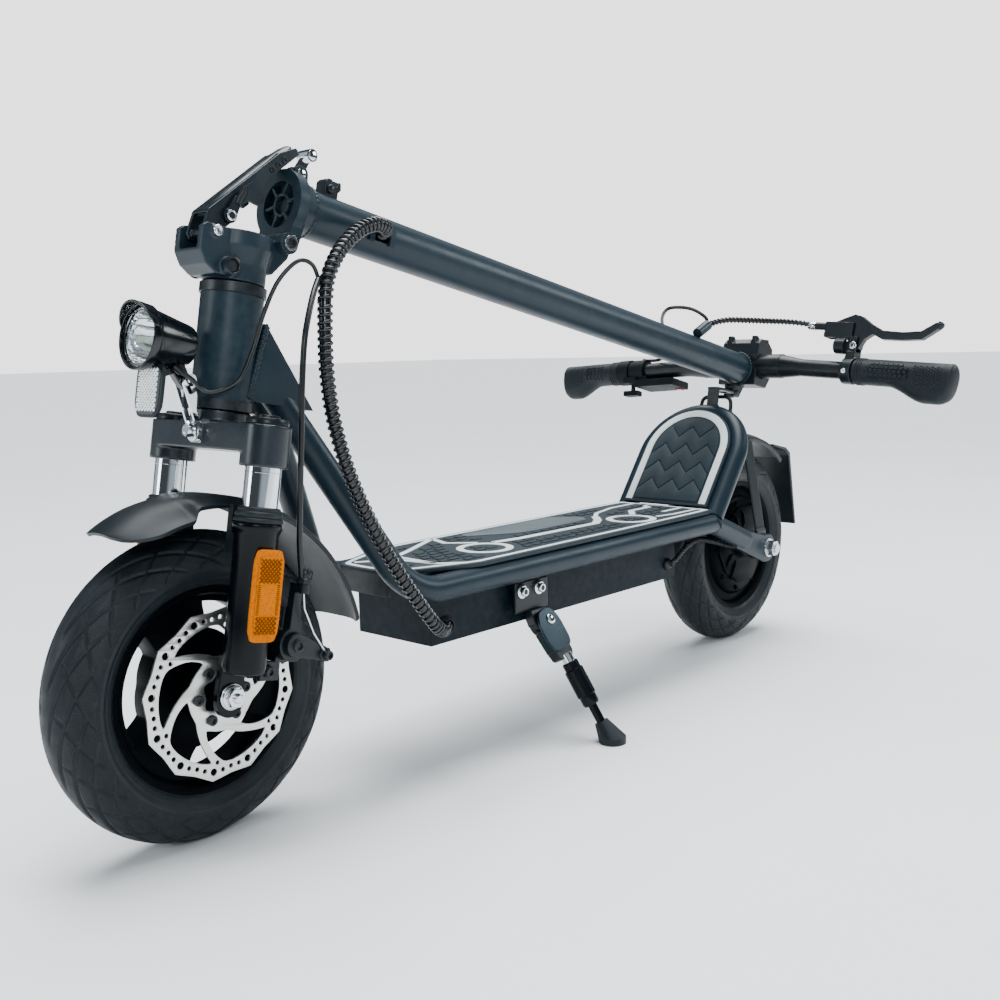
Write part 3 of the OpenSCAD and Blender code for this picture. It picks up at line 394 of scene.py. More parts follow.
class Kit:
    """Vertices and faces gathered from simple forms, all in one local place."""

    def __init__(self):
        self.v, self.f = [], []

    def add(self, v, f, m=None):
        n = len(self.v)
        self.v += [(m @ Vector(p)) if m else Vector(p) for p in v]
        self.f += [[i + n for i in q] for q in f]
        return self

    def lathe(self, profile, n=48, m=None, closed=False, shape=None):
        v, f, rings = [], [], []
        for r, z in profile:
            if abs(r) < 1e-6:
                rings.append([len(v)])
                v.append((0, 0, z))
            else:
                rings.append(list(range(len(v), len(v) + n)))
                for i in range(n):
                    a = 2 * pi * i / n
                    k = r * (shape(a, r) if shape else 1)
                    v.append((k * cos(a), k * sin(a), z))
        pairs = list(zip(rings, rings[1:])) + ([(rings[-1], rings[0])] if closed else [])
        for a, b in pairs:
            for i in range(n):
                j = (i + 1) % n
                if len(a) == 1 and len(b) > 1:
                    f.append([a[0], b[j], b[i]])
                elif len(b) == 1 and len(a) > 1:
                    f.append([a[i], a[j], b[0]])
                elif len(a) > 1:
                    f.append([a[i], a[j], b[j], b[i]])
        if not closed:
            for ring in (rings[0], rings[-1]):
                if len(ring) > 1:
                    f.append(ring)
        return self.add(v, f, m)

    def prism(self, outline, z0, z1, m=None):
        n = len(outline)
        v = [(x, y, z0) for x, y in outline] + [(x, y, z1) for x, y in outline]
        f = [list(range(n)), list(range(n, 2 * n))]
        f += [[i, (i + 1) % n, n + (i + 1) % n, n + i] for i in range(n)]
        return self.add(v, f, m)

    def slab(self, outline, y0, y1, m=None):
        """Outline in (x, z), thickness along y."""
        return self.prism(outline, y0, y1, m @ SWAP_YZ if m else SWAP_YZ)

    def box(self, x0, x1, y0, y1, z0, z1, m=None):
        return self.prism([(x0, y0), (x1, y0), (x1, y1), (x0, y1)], z0, z1, m)

    def tube(self, path, radius, sides=12, closed=False, m=None, flat=None, up=None):
        """radius is a number or one per point; flat scales the second axis of the section."""
        p = [Vector(q) for q in path]
        count = len(p)
        rr = radius if isinstance(radius, (list, tuple)) else [radius] * count
        t = []
        for i in range(count):
            a, b = (p[i - 1], p[(i + 1) % count]) if closed else (p[max(i - 1, 0)], p[min(i + 1, count - 1)])
            t.append((b - a).normalized())
        n = Vector(up) if up else (Vector((0, 0, 1)) if abs(t[0].z) < 0.9 else Vector((1, 0, 0)))
        v, f = [], quads(count, sides, closed)
        for i in range(count):
            n = (n - t[i] * n.dot(t[i])).normalized()
            b = t[i].cross(n)
            fl = flat[i] if isinstance(flat, (list, tuple)) else (flat or 1)
            for k in range(sides):
                a = 2 * pi * k / sides
                v.append(p[i] + n * (rr[i] * cos(a)) + b * (rr[i] * fl * sin(a)))
        if not closed:
            f.append(list(range(sides)))
            f.append([(count - 1) * sides + k for k in range(sides)])
        return self.add(v, f, m)

    def bolt(self, r, h, m=None, across=0.5, n=24):
        """A socket head standing on z=0."""
        def hexed(a, k):
            return 1 if k > r * 0.62 else 1 / cos((a % (pi / 3)) - pi / 6)
        s = r * across
        return self.lathe([(r, 0), (r, h * 0.78), (r * 0.86, h), (s * 1.12, h), (s, h * 0.93),
                           (s, h * 0.4), (0, h * 0.35)], n, m, shape=hexed)

    def nut(self, across, h, stud, m=None):
        """A hex nut with a domed stud, standing on z=0."""
        r = across / 2 / cos(pi / 6)
        a = [(r * cos(pi * k / 3), r * sin(pi * k / 3)) for k in range(6)]
        self.prism(a, 0, h, m)
        self.lathe([(stud, h - 0.2), (stud, h + 2.2), (stud * 0.8, h + 3.0), (0, h + 3.2)], 20, m)
        return self.lathe([(r * 1.16, 0.1), (r * 1.16, 1.3), (r * 1.06, 1.7), (0, 1.8)], 32, m)


def spline(points, per):
    """A smooth path through every point."""
    p = [Vector(q) for q in points]
    out = []
    for i in range(len(p) - 1):
        a, b, c, d = p[max(i - 1, 0)], p[i], p[i + 1], p[min(i + 2, len(p) - 1)]
        for k in range(per):
            t = k / per
            out.append(0.5 * (2 * b + (c - a) * t + (2 * a - 5 * b + 4 * c - d) * t * t
                              + (3 * b - a - 3 * c + d) * t ** 3))
    return out + [p[-1]]


def resample(path, step):
    """The same path with its points one step apart."""
    p = [Vector(q) for q in path]
    out, left = [p[0]], step
    for a, b in zip(p, p[1:]):
        d = (b - a).length
        at = left
        while at <= d:
            out.append(a + (b - a) * (at / d))
            at += step
        left = at - d
    if (out[-1] - p[-1]).length > step * 0.3:
        out.append(p[-1])
    return out


def clean(me, near=0.0):
    """Joins points nearer than near and turns every face outwards."""
    bm = bmesh.new()
    bm.from_mesh(me)
    if near:
        bmesh.ops.remove_doubles(bm, verts=bm.verts, dist=near)
    bmesh.ops.recalc_face_normals(bm, faces=bm.faces)
    bm.to_mesh(me)
    bm.free()


def dress(o, mat, body, node, smooth):
    """Gives a piece its material, smooth shading and body, and hides the CAD node it stands for. A piece
    given a tuple (two bodies and the ends of a bend between them) is only baked in place, with no body."""
    o.data.materials.clear()
    o.data.materials.append(mat)
    for p in o.data.polygons:
        p.use_smooth = True
    o.data.set_sharp_from_angle(angle=rad(smooth))
    if node:
        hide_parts(node)
    if isinstance(body, tuple):
        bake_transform(o)
    else:
        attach(o, body)
    return o


EDGE_ANGLE = rad(32)


def make(name, kit, mat, body, place=PART, bevel=0.0, seg=2, node=None, smooth=38):
    me = bpy.data.meshes.new(name)
    me.from_pydata([tuple(p) for p in kit.v], [], kit.f)
    me.transform(place)
    clean(me, 1e-6)
    o = dress(new_object(name, me), mat, body, node, smooth)
    if bevel:
        b = o.modifiers.new("edge", "BEVEL")
        b.width = bevel * 0.001
        b.segments = seg
        b.limit_method = "ANGLE"
        b.angle_limit = EDGE_ANGLE
        b.use_clamp_overlap = True
        b.harden_normals = False


BODY_OF = {n: b for b, held in frame["record"]["behaviour"]["bodies"].items() for n in held}


def baked(tmp):
    """The mesh of a helper object with its modifiers applied; the helper goes."""
    bpy.context.view_layer.update()
    me = bpy.data.meshes.new_from_object(tmp.evaluated_get(bpy.context.evaluated_depsgraph_get()))
    bpy.data.objects.remove(tmp)
    return me


def cast(node, size, rounds, mat):
    """The CAD node's own shape with its corners melted round, as a casting or moulding has them."""
    src = frame["nodes"][node]
    tmp = new_object(node + "_c", src.data.copy())
    tmp.matrix_world = src.matrix_world.copy()
    melt = tmp.modifiers.new("melt", "REMESH")
    melt.mode = "VOXEL"
    melt.voxel_size = size * 0.001
    soft = tmp.modifiers.new("soft", "SMOOTH")
    soft.factor = 0.5
    soft.iterations = rounds
    return dress(new_object(node + "_cast", baked(tmp)), mat, BODY_OF[node], node, 80)


def plate(name, loops, depth, mat, body, place, bevel=0.0, node=None, lift=0.0):
    """A flat plate with holes: loops in (x, y), the first one outside, thickness along z from lift."""
    cu = bpy.data.curves.new(name, "CURVE")
    cu.dimensions = "2D"
    cu.fill_mode = "BOTH"
    cu.extrude = depth / 2 - bevel
    cu.bevel_depth = bevel
    cu.bevel_resolution = 1
    for loop in loops:
        s = cu.splines.new("POLY")
        s.points.add(len(loop) - 1)
        for q, (x, y) in zip(s.points, loop):
            q.co = (x, y, 0, 1)
        s.use_cyclic_u = True
    me = baked(new_object(name + "_c", cu))
    me.transform(place @ T(0, 0, lift + depth / 2))
    clean(me, 2e-6)
    return dress(new_object(name, me), mat, body, node, 38)


def polar(points):
    """(radius, angle) to (x, y)."""
    return [(r * cos(a), r * sin(a)) for r, a in points]


def circle(r, x=0.0, y=0.0, n=32):
    return [(x + r * cos(2 * pi * k / n), y + r * sin(2 * pi * k / n)) for k in range(n)]


def holes(r, out, angles, n):
    return [circle(r, x, y, n) for x, y in polar((out, a) for a in angles)]


def soften(loop, times=2, share=0.25):
    """Rounds a closed outline's corners by cutting them again and again."""
    for _ in range(times):
        out = []
        for a, b in zip(loop, loop[1:] + loop[:1]):
            out.append((a[0] + (b[0] - a[0]) * share, a[1] + (b[1] - a[1]) * share))
            out.append((b[0] + (a[0] - b[0]) * share, b[1] + (a[1] - b[1]) * share))
        loop = out
    return loop


def ribbon(points, width):
    """The outline of a flat line of some width through points in (x, y)."""
    p = [Vector((q[0], q[1], 0)) for q in points]
    steps = [(b - a).normalized() for a, b in zip(p, p[1:])]
    left, rght = [], []
    for at, before, after in zip(p, steps[:1] + steps, steps + steps[-1:]):
        t = (before + after).normalized()
        m = Vector((-t.y, t.x, 0)) * (width / 2 / max(0.5, t.dot(before)))
        left.append((at.x + m.x, at.y + m.y))
        rght.append((at.x - m.x, at.y - m.y))
    return left + rght[::-1]


def to(pos, direction):
    """Place with local z along direction, at pos."""
    d = Vector(direction).normalized()
    q = d.to_track_quat("Z", "Y").to_matrix().to_4x4()
    return T(*pos) @ q


# ---------------------------------------------------------------- CAD nodes that stay visible
CAD_FINISH = {
    PAINT: ("head_tube", "stem_tube"),
    PAINT_TUBE: ("rail_left", "rail_right", "rear_hoop"),
    # the battery box takes the darkened copy of the frame paint, painted shade
    SHADED_BOX_PAINT: ("battery_box",),
    SATIN: ("handlebar", "headset", "deck_plate", "footrest_plate"),
    ZINC: ("hinge_pin", "rear_axle"),
    CHROME: ("eyebolt", "lamp_bracket"),
    STEEL: ("fork_springs",),
    PLASTIC: ("charge_cap",),
    DULL: ("throttle",),
    RUBBER: ("stand_foot",),
    RED: ("power_button",),
    BLUE: ("battery_pack",),
}
for mat, names in CAD_FINISH.items():
    for name in names:
        frame["nodes"][name].data.materials.clear()
        frame["nodes"][name].data.materials.append(mat)

# ---------------------------------------------------------------- wheels


TREAD_HALF, TREAD_RIB, SWEEP_LONG, CROSS_LONG = 46, 3, 118.0, 58.0


def groove(off, half, wall, t):
    """1 in the middle of a groove, 0 outside it, fading out at both of its ends."""
    return max(0, min(1, (half - off) / wall)) * min(1, t * 10, (1 - t) * 10)


def tread_depth(x, s, pitch):
    """How deep the tread is cut at x along and s across: long sweeps and short cross cuts, every pitch."""
    depth, a = 0.0, abs(s)
    if a > TREAD_HALF or a < TREAD_RIB:
        return 0.0
    x += pitch * 0.5 if s < 0 else 0
    for k in range(-4, 4):
        u = (x - k * pitch) / SWEEP_LONG
        if 0 <= u <= 1:
            depth = max(depth, 1.5 * groove(abs(a - 5 - 38 * u ** 1.3), 1.7, 0.9, u))
        w = (k * pitch + 66 - x) / CROSS_LONG
        if 0 <= w <= 1:
            depth = max(depth, 1.4 * groove(abs(a - 12 - 31 * w ** 0.85) * 0.88, 1.5, 0.8, w))
    return depth


def tyre(name, place, body, node):
    """A closed tube of rubber with its tread cut in; per points along each repeat, rows across."""
    lines, per, rows = 20, 52, 116
    n = lines * per
    rho, centre, start = 28.0, 99.4, rad(124)
    pitch = 2 * pi * WHEEL_R / lines
    v, uv, knurl = [], [], []
    for j in range(rows + 1):
        s = rho * (-start + 2 * start * j / rows)
        a = abs(s)
        ridge = 0.6 * max(0, 1 - abs(a - 48) / 1.2) - 0.5 * max(0, 1 - abs(a - 51.5) / 1.4)
        ridge += 0.5 * max(0, 1 - abs(a - 57) / 1.1)
        cuts = [tread_depth(pitch * i / per, s, pitch) for i in range(per)]
        flat = 1.0 if a < 44 else 1.0 - 0.1 * ((a - 44) / 17) ** 1.5
        for i in range(n):
            r = rho - cuts[i % per] + ridge
            ring, y, th = centre + r * cos(s / rho), r * sin(s / rho) * flat, 2 * pi * i / n
            v.append((ring * cos(th), y, ring * sin(th)))
            uv.append((WHEEL_R * th, s))
            knurl.append(1.0 if (20 < a < 45 and cuts[i % per] < 0.05) else 0.0)
    inside, hollow = 13, 23
    for j in range(inside):
        phi = start - 2 * start * j / (inside - 1)
        for i in range(n):
            th, ring = 2 * pi * i / n, centre + hollow * cos(phi)
            v.append((ring * cos(th), hollow * sin(phi) * 0.9, ring * sin(th)))
            uv.append((0, 0))
            knurl.append(0.0)
    me = bpy.data.meshes.new(name)
    me.from_pydata(v, [], quads(rows + 1 + inside, n, True))
    at = me.attributes.new("knurl", "FLOAT", "POINT")
    at.data.foreach_set("value", knurl)
    lay = me.uv_layers.new(name="along")
    flatuv = []
    for poly in me.polygons:
        wrap = any(uv[w][0] > 600 for w in poly.vertices)
        for vi in poly.vertices:
            x = uv[vi][0]
            flatuv += [2 * pi * WHEEL_R if wrap and x < 100 else x, uv[vi][1]]
    lay.data.foreach_set("uv", flatuv)
    me.transform(place)
    clean(me)
    dress(new_object(name, me), TYRE, body, node, 60)


tyre("tyre_front", FORK, "front_wheel", "front_tyre")
tyre("tyre_rear", REAR @ R(13, "Y"), "rear_wheel", "rear_tyre")

k = Kit()
RIM = [(78.5, -20), (88, -22.6), (89.5, -22.2), (89.2, -20.4), (85, -17), (82, -12), (82, 12), (85, 17),
       (89.2, 20.4), (89.5, 22.2), (88, 22.6), (78.5, 20), (76.5, 17), (74, 8), (74, -8), (76.5, -17)]
k.lathe(RIM, 128, SIDE_TO_Y, closed=True)
k.lathe([(5.06, -38), (13, -38), (20, -34), (24, -26), (24, -12), (22, 0), (24, 12), (26, 22), (28, 24),
         (28, 34), (27, 37), (5.06, 37)], 64, SIDE_TO_Y, closed=True)
k.lathe([(77, -12), (79.5, -14), (79.5, 14), (77, 12)], 96, SIDE_TO_Y, closed=True)
make("rim_front", k, SHADED_WHEEL_BLACK, "front_wheel", FORK, 1.4, 3, node="front_rim")
windows = [circle(79, n=120)]
for i in range(3):
    mid = rad(120 * i)
    outer_arc = [(72.5, mid + rad(-39 + 78 * t / 20)) for t in range(21)]
    inner_arc = [(43 + 4 * abs(t - 5) / 5, mid + rad(33 - 66 * t / 10)) for t in range(11)]
    windows.append(soften(polar(outer_arc + inner_arc), 2, 0.22))
windows.append(circle(14, n=48))
plate("rim_web", windows, 27, SHADED_WHEEL_BLACK, "front_wheel", FORK @ R(90, "X"), 2.2, lift=-13)
k = Kit()
k.lathe([(1.6, 0), (4.2, 0), (4.2, 2), (3.6, 8), (3.9, 20), (3.9, 27), (2.4, 29), (0, 29)], 20,
        R(52, "Y") @ T(80, -9, 0) @ R(-72, "Y"))
make("valve_stem", k, RUBBER, "front_wheel", FORK)

# brake rotor: a wavy rim, six windows between swept arms, cooling holes and the bore
outer = []
for i in range(240):
    a = 2 * pi * i / 240
    w = abs(((a * 12 / (2 * pi)) % 1) - 0.5) * 2
    outer.append((66.4 + 3.5 * w ** 1.6, a))
loops = [polar(outer)]


def arm_angle(r):
    """How far the rotor's swept arms have turned at radius r."""
    u = (r - 27) / 30.0
    return -(52 * u - 9 * u * u) * pi / 180


for i in range(6):
    base = rad(60 * i + 8)
    lead, trail = [], []
    for j in range(9):
        r = 31 + (55.5 - 31) * j / 8
        half = (5.4 - 1.6 * sin(pi * j / 8)) / r
        lead.append((r, base + arm_angle(r) + half))
        trail.append((r, base + rad(60) + arm_angle(r) - half))
    arc_out = [(56.6, lead[-1][1] + (trail[-1][1] - lead[-1][1]) * t / 8) for t in range(1, 8)]
    arc_in = [(30, trail[0][1] + (lead[0][1] - trail[0][1]) * t / 5) for t in range(1, 5)]
    loop = lead + arc_out + trail[::-1] + arc_in
    loops.append(soften(polar(loop), 2, 0.25))
for i in range(12):
    a = 2 * pi * i / 12
    loops += holes(3.2, 62.6, [a], 20)
    for j, out in ((-1, 61.7), (0, 60.9), (1, 61.7)):
        loops += holes(2.15, out, [a + pi / 12 + j * 0.124], 14)
loops += holes(2.1, 55.2, [rad(60 * i + 8) + arm_angle(55) for i in range(6)], 14)
turns = [2 * pi * i / 120 for i in range(120)]
loops.append(polar((16.2 + 1.6 * cos(6 * (a - rad(18))), a) for a in turns))
SCREW_ANGLES = [rad(-12 + 60 * i) for i in range(6)]
loops += holes(2.6, 22, SCREW_ANGLES, 16)
plate("rotor", loops, 1.9, STEEL, "front_wheel", FORK @ R(90, "X"), 0.25, "brake_rotor", lift=-39)
k = Kit()
for x, z in polar((22, a) for a in SCREW_ANGLES):
    k.bolt(4.3, 2.7, T(x, 39, z) @ SIDE_TO_Y, 0.45)
make("rotor_screws", k, SATIN, "front_wheel", FORK, node="rotor_bolts")

# rear hub motor
k = Kit()
k.lathe(RIM, 128, SIDE_TO_Y, closed=True)
k.lathe([(6.05, -34), (13, -34), (15, -31), (17, -27), (40, -26), (60, -24), (64, -21), (66, -17),
         (78, -14), (78, 14), (66, 17), (64, 21), (60, 24), (40, 26), (17, 27), (15, 31), (13, 34),
         (6.05, 34)], 96, SIDE_TO_Y, closed=True)
make("hub_motor", k, SHADED_WHEEL_BLACK, "rear_wheel", REAR, 0.8, 2, node="motor_hub")
turns = [2 * pi * i / 144 for i in range(144)]
wave = polar((50 + 3.6 * cos(3 * a) + 1.2 * cos(9 * a), a) for a in turns)
for side, lift in ((1, -27.4), (-1, 25.4)):
    plate("hub_cover_%d" % (side + 1), [wave, circle(17.2, n=48)], 2.2, SHADED_WHEEL_BLACK, "rear_wheel",
          REAR @ R(90, "X"), 0.8, lift=lift)
k = Kit()
for side in (-1, 1):
    for x, z in circle(57.5, n=9):
        k.bolt(3.2, 2.2, T(x, side * 24.4, z) @ R(-90 * side, "X"), 0.5, 18)
    for i in range(3):
        m = R(120 * i + 30, "Y") @ R(-90 * side, "X") @ T(0, 0, 26.4)
        for ridge in ([(22, -3, 0), (30, -4, 1.6), (40, -2, 1.4), (47, 3, 0.4)],
                      [(22, 9, 0), (30, 12, 1.6), (40, 18, 1.4), (44, 24, 0.4)]):
            k.tube(ridge, [1.5, 2.4, 2.4, 1.4], 10, m=m)
make("hub_details", k, SHADED_WHEEL_BLACK, "rear_wheel", REAR, 0.2, 1)

# ---------------------------------------------------------------- cables
ROUTE_STEM = [(215.6, 17.6, 496.9), (219, 29.5, 500), (240, 39.5, 502), (264, 45, 495), (285, 50, 482),
              (300, 54, 468), (310, 56, 452), (315, 58, 434)]
ROUTE_DECK = [(315, 58, 434), (318, 60, 410), (319, 61, 380), (316, 62, 345), (310, 66, 310), (299, 70, 275),
              (283, 74, 240), (264, 79, 205), (247, 83, 178), (229, 83, 155), (210, 74, 142), (194, 62, 137),
              (180, 50, 136)]


def helix(path, r, pitch, per=14):
    """A wire wound round a path."""
    pts = resample(path, pitch / per)
    n = Vector((0, 0, 1)) if abs((pts[1] - pts[0]).normalized().z) < 0.9 else Vector((1, 0, 0))
    out = []
    for i, p in enumerate(pts):
        t = (pts[min(i + 1, len(pts) - 1)] - pts[max(i - 1, 0)]).normalized()
        n = (n - t * n.dot(t)).normalized()
        a = 2 * pi * i / per
        out.append(p + (n * cos(a) + t.cross(n) * sin(a)) * r)
    return out


def loom(name, route, joined, node):
    """A ribbed cord; joined holds the two bodies it runs between and where its bend starts and ends, and the
    cord is only baked in place.
    """
    path = spline(route, 12)
    k = Kit()
    k.tube(path, 5.0, 16)
    k.tube(helix(path, 5.0, 6.0, 16), 1.75, 8)
    make(name, k, LOOM, joined, node=node, smooth=50)


loom("loom_stem", ROUTE_STEM, ("stem", "steerer", (0.226, 0.03, 0.501), (0.312, 0.057, 0.445)),
     "stem_conduit")
loom("loom_deck", ROUTE_DECK, ("steerer", "frame", (0.317, 0.06, 0.415), (0.25, 0.082, 0.18)),
     "deck_conduit")
# the gland where the loom enters the box
k = Kit()
k.lathe([(6.2, -1), (10, -1), (10, 1.5), (8, 4), (7, 5), (6.2, 5)], 32, T(180, 50, 136) @ SIDE_TO_Y,
        closed=True)
make("loom_gland", k, RUBBER, "frame", PART, 0.4)


LEVER_LEAD = [(72, 10, 665), (77.5, 12, 674), (84, 22, 690), (88, 36, 712), (92, 52, 738), (95, 66, 758),
              (96, 78, 771), (95.6, 87, 776.3), (94.3, 90, 777.5)]
path = spline(LEVER_LEAD, 10)
k = Kit()
k.tube(path, 2.9, 12)
k.tube(helix(path, 3.2, 5.2), 0.95, 6)
make("lever_cable_wrap", k, CABLE, "stem", STEM, node="lever_lead", smooth=60)
THROTTLE_LEAD = [(71.5, 3.9, 664.6), (73.5, 3.9, 667), (77.5, 3.6, 671.5), (84, 2, 668), (89, -3, 648),
                 (88, -10, 628), (84, -22, 618), (76, -44, 640), (66, -76, 700), (56, -108, 752),
                 (50, -130, 770), (49, -150, 773), (50, -160, 773)]
k = Kit()
k.tube(spline(THROTTLE_LEAD, 10), 2.2, 12)
make("throttle_cable", k, CABLE, "stem", STEM, node="throttle_lead", smooth=60)
LAMP_LEAD = [(314, 50, 452), (322, 52, 464), (335, 50, 466), (350, 43, 450), (362, 38, 424),
             (372, 35, 396), (386, 33, 372), (402, 22, 364), (409, 15.5, 368), (415, 13, 375),
             (421, 9.5, 380), (425.2, 6.6, 384.6)]
k = Kit()
k.tube(spline(LAMP_LEAD, 10), 1.8, 10)
k.tube([(421.5, 9.1, 380.5), (425.5, 6.3, 385)], 3.0, 12)
make("lamp_cable", k, CABLE, "steerer", PART, node="lamp_lead", smooth=60)
BRAKE = [(318, 54, 452), (330, 62, 440), (343, 70, 420), (351, 74, 400), (356, 75, 365), (359, 75, 325),
         (362, 74, 280), (364, 73.5, 245), (363.5, 73.5, 214)]
k = Kit()
k.tube(spline(BRAKE, 10), 2.5, 12)
make("brake_hose", k, CABLE, ("steerer", "fork_lowers", (0.351, 0.074, 0.4), (0.363, 0.0735, 0.235)),
     node="brake_cable", smooth=60)
MOTOR = [(-190, 50, 137), (-194, 58, 141), (-208, 61, 152), (-228, 60, 158), (-252, 56, 158), (-290, 50, 150),
         (-330, 46, 139), (-365, 44, 131), (-388, 43, 127.5)]
path = spline(MOTOR, 10)
k = Kit()
k.tube(path, 2.5, 12)
k.tube(helix(path, 2.9, 5.0), 0.8, 6)
k.lathe([(2.4, 0), (7, 0), (7, 2), (4.5, 5), (2.4, 6)], 24, T(-190, 50, 137) @ SIDE_TO_Y, closed=True)
make("motor_cable", k, CABLE, "frame", node="motor_lead", smooth=60)

# ---------------------------------------------------------------- deck
DECK_TOP = 194.4
PRINT_Z = DECK_TOP - 0.1


def deck_loop(g):
    """The mat's outline, g inside the deck's edge."""
    tip, wide, rear = AXLE_X - 184, AXLE_X - 246, AXLE_X - 684
    pts = [(tip - g, -34 + g * 0.4), (tip - g, 34 - g * 0.4), (wide + 8 - g * 0.5, 59 - g),
           (wide - 26 - g * 0.3, 71 - g), (rear + g, 71 - g), (rear + g, -71 + g),
           (wide - 26 - g * 0.3, -71 + g), (wide + 8 - g * 0.5, -59 + g)]
    dense = []
    for a, b in zip(pts, pts[1:] + pts[:1]):
        d = math.hypot(b[0] - a[0], b[1] - a[1])
        cut = min(6.0, d * 0.3) / d
        dense.append((a[0] + (b[0] - a[0]) * cut, a[1] + (b[1] - a[1]) * cut))
        dense.append((b[0] - (b[0] - a[0]) * cut, b[1] - (b[1] - a[1]) * cut))
    return soften(dense, 2, 0.25)


plate("deck_mat", [deck_loop(0)], 4.0, MAT, "frame", PART, 0.8, "rubber_mats", lift=190.4)
plate("deck_border", [deck_loop(3.5), deck_loop(8.5)], 0.5, WHITE, "frame", PART, 0.1, lift=PRINT_Z)
RINGS = [(92, 21), (-147, 30)]
# printed lines as (width, points)
LINES = [(9, [(62, 6), (28, 12), (-98, 16), (-118, 4), (-137, -14)]),
         (6, [(178, -18), (150, -30), (84, -63)]), (6, [(84, -63), (95, -33), (74, -6)]),
         (6, [(222, -28), (188, -4), (181, 40), (160, 62)]), (5, [(178, -18), (181, 40)]),
         (7, [(-175, 12), (-200, -8), (-236, -8), (-248, -24)]),
         (5, [(-137, -14), (-160, -30), (-205, -42), (-252, -42)]),
         (5, [(-178, 44), (-205, 50), (-252, 50)]), (5, [(-215, 28), (-252, 28)])]
PRINT = [("ring_" + letter, [circle(29, x, y, 48), circle(21.5, x, y, 48)])
         for letter, (x, y) in zip("ab", RINGS)]
PRINT += [("line_" + letter, [ribbon(points, width)]) for letter, (width, points) in zip("abcdefghi", LINES)]
GREY_PANEL = [(58, -48), (-2, -8), (-112, -8), (-128, -26), (-100, -60), (34, -60)]
plate("deck_grey", [soften(GREY_PANEL, 2, 0.12)], 0.7, GREY, "frame", PART, 0.2, lift=PRINT_Z)
for name, loops in PRINT:
    plate("deck_" + name, loops, 0.6, WHITE, "frame", PART, 0.1, lift=PRINT_Z)


# the lines that the raised blocks keep clear of, a little simpler than the printed ones
CLEAR_OF = [[(62, 6), (28, 12), (-98, 16), (-137, -14), (-205, -42), (-252, -42)],
            [(178, -18), (84, -63), (95, -33), (74, -6)], [(222, -28), (188, -4), (181, 40), (160, 62)],
            [(178, -18), (181, 40)], [(-175, 12), (-200, -8), (-236, -8)], [(-178, 44), (-252, 50)],
            [(-215, 28), (-252, 28)]]


def near_print(x, y):
    """Whether a block at (x, y) would touch a printed ring, a printed line or the grey panel."""
    if any(13 < math.hypot(x - cx, y - cy) < 38 for cx, cy in RINGS) or (-126 < x < 58 and -60 < y < -6):
        return True
    for points in CLEAR_OF:
        for (ax, ay), (bx, by) in zip(points, points[1:]):
            dx, dy = bx - ax, by - ay
            t = max(0, min(1, ((x - ax) * dx + (y - ay) * dy) / (dx * dx + dy * dy)))
            if math.hypot(x - ax - t * dx, y - ay - t * dy) < 12:
                return True
    return False


k = Kit()
for i in range(-18, 17):
    for j in range(-5, 6):
        x = i * 14.5 + (7.2 if j % 2 else 0)
        y = j * 12.0
        room = 61 - max(0, (x - 140) * 0.55)
        if abs(y) > room - 2 or near_print(x, y) or x < -250 or x > 216:
            continue
        s = 1 if (i + j) % 2 else -1
        k.prism([(x - 6, y - 4.4), (x + 5 + s, y - 4.4), (x + 6, y + 4.4), (x - 5 + s, y + 4.4)],
                PRINT_Z, DECK_TOP + 0.9)
make("deck_blocks", k, MAT, "frame", PART, 0.35, 1)

# ---------------------------------------------------------------- footrest


def arch(half, straight, low=0.0, n=28):
    """A flat-footed arch: straight sides up to straight, then half a circle."""
    pts = [(low, half), (straight, half)]
    pts += [(straight + half * sin(pi * i / n), half * cos(pi * i / n)) for i in range(1, n)]
    pts += [(straight, -half), (low, -half)]
    return pts


plate("rest_mat", [arch(60, 79)], 4.0, MAT, "frame", REST, 0.7, lift=-4.0)
band = arch(58, 79, low=2.0) + arch(49, 79, low=2.0)[::-1]
plate("rest_band", [band], 0.7, WHITE, "frame", REST, 0.12, lift=-0.15)


def zigzag(x, n=60):
    """A line across the footrest that runs up and down three times."""
    out = []
    for i in range(n + 1):
        y = -46 + 92 * i / n
        w = ((y + 46) / 30.67) % 1
        out.append((x + 16 * (1 - 2 * abs(w - 0.5)) - 8, y))
    return out


# the footrest's pads, between one zigzag and the next and inside the band
PAD_HALF, PAD_STRAIGHT, PAD_GAP = 46, 79, 1.3
levels = [-14, 26, 52, 78, 104, 140]
for i, (a, b) in enumerate(zip(levels, levels[1:])):
    low, high = [], []
    for (x0, y), (x1, _) in zip(zigzag(a), zigzag(b)):
        x0 = x0 + PAD_GAP if i else 4.0
        x1 = min(x1 - PAD_GAP, PAD_STRAIGHT + math.sqrt(max(PAD_HALF * PAD_HALF - y ** 2, 0.0)))
        if x1 - x0 > 0.8:
            low.append((x0, y))
            high.append((x1, y))
    if len(low) > 2:
        plate("rest_pad_%d" % i, [low + high[::-1]], 1.9, MAT, "frame", REST, 0.3, lift=-0.4)

# ---------------------------------------------------------------- welds


def weld(name, path, r, body, place=PART, closed=True):
    """A bead along a joint, in overlapping ripples."""
    pts = resample(list(path) + ([path[0]] if closed else []), 0.9)
    if closed:
        pts = pts[:-1]
    radii = [r * (0.66 + 0.34 * abs(sin(pi * i * 0.9 / 4.2))) for i in range(len(pts))]
    k = Kit()
    k.tube(pts, radii, 8, closed=closed)
    make(name, k, PAINT_TUBE, body, place, smooth=70)


def ring_path(r, m):
    return [m @ Vector((x, y, 0)) for x, y in circle(r, n=48)]


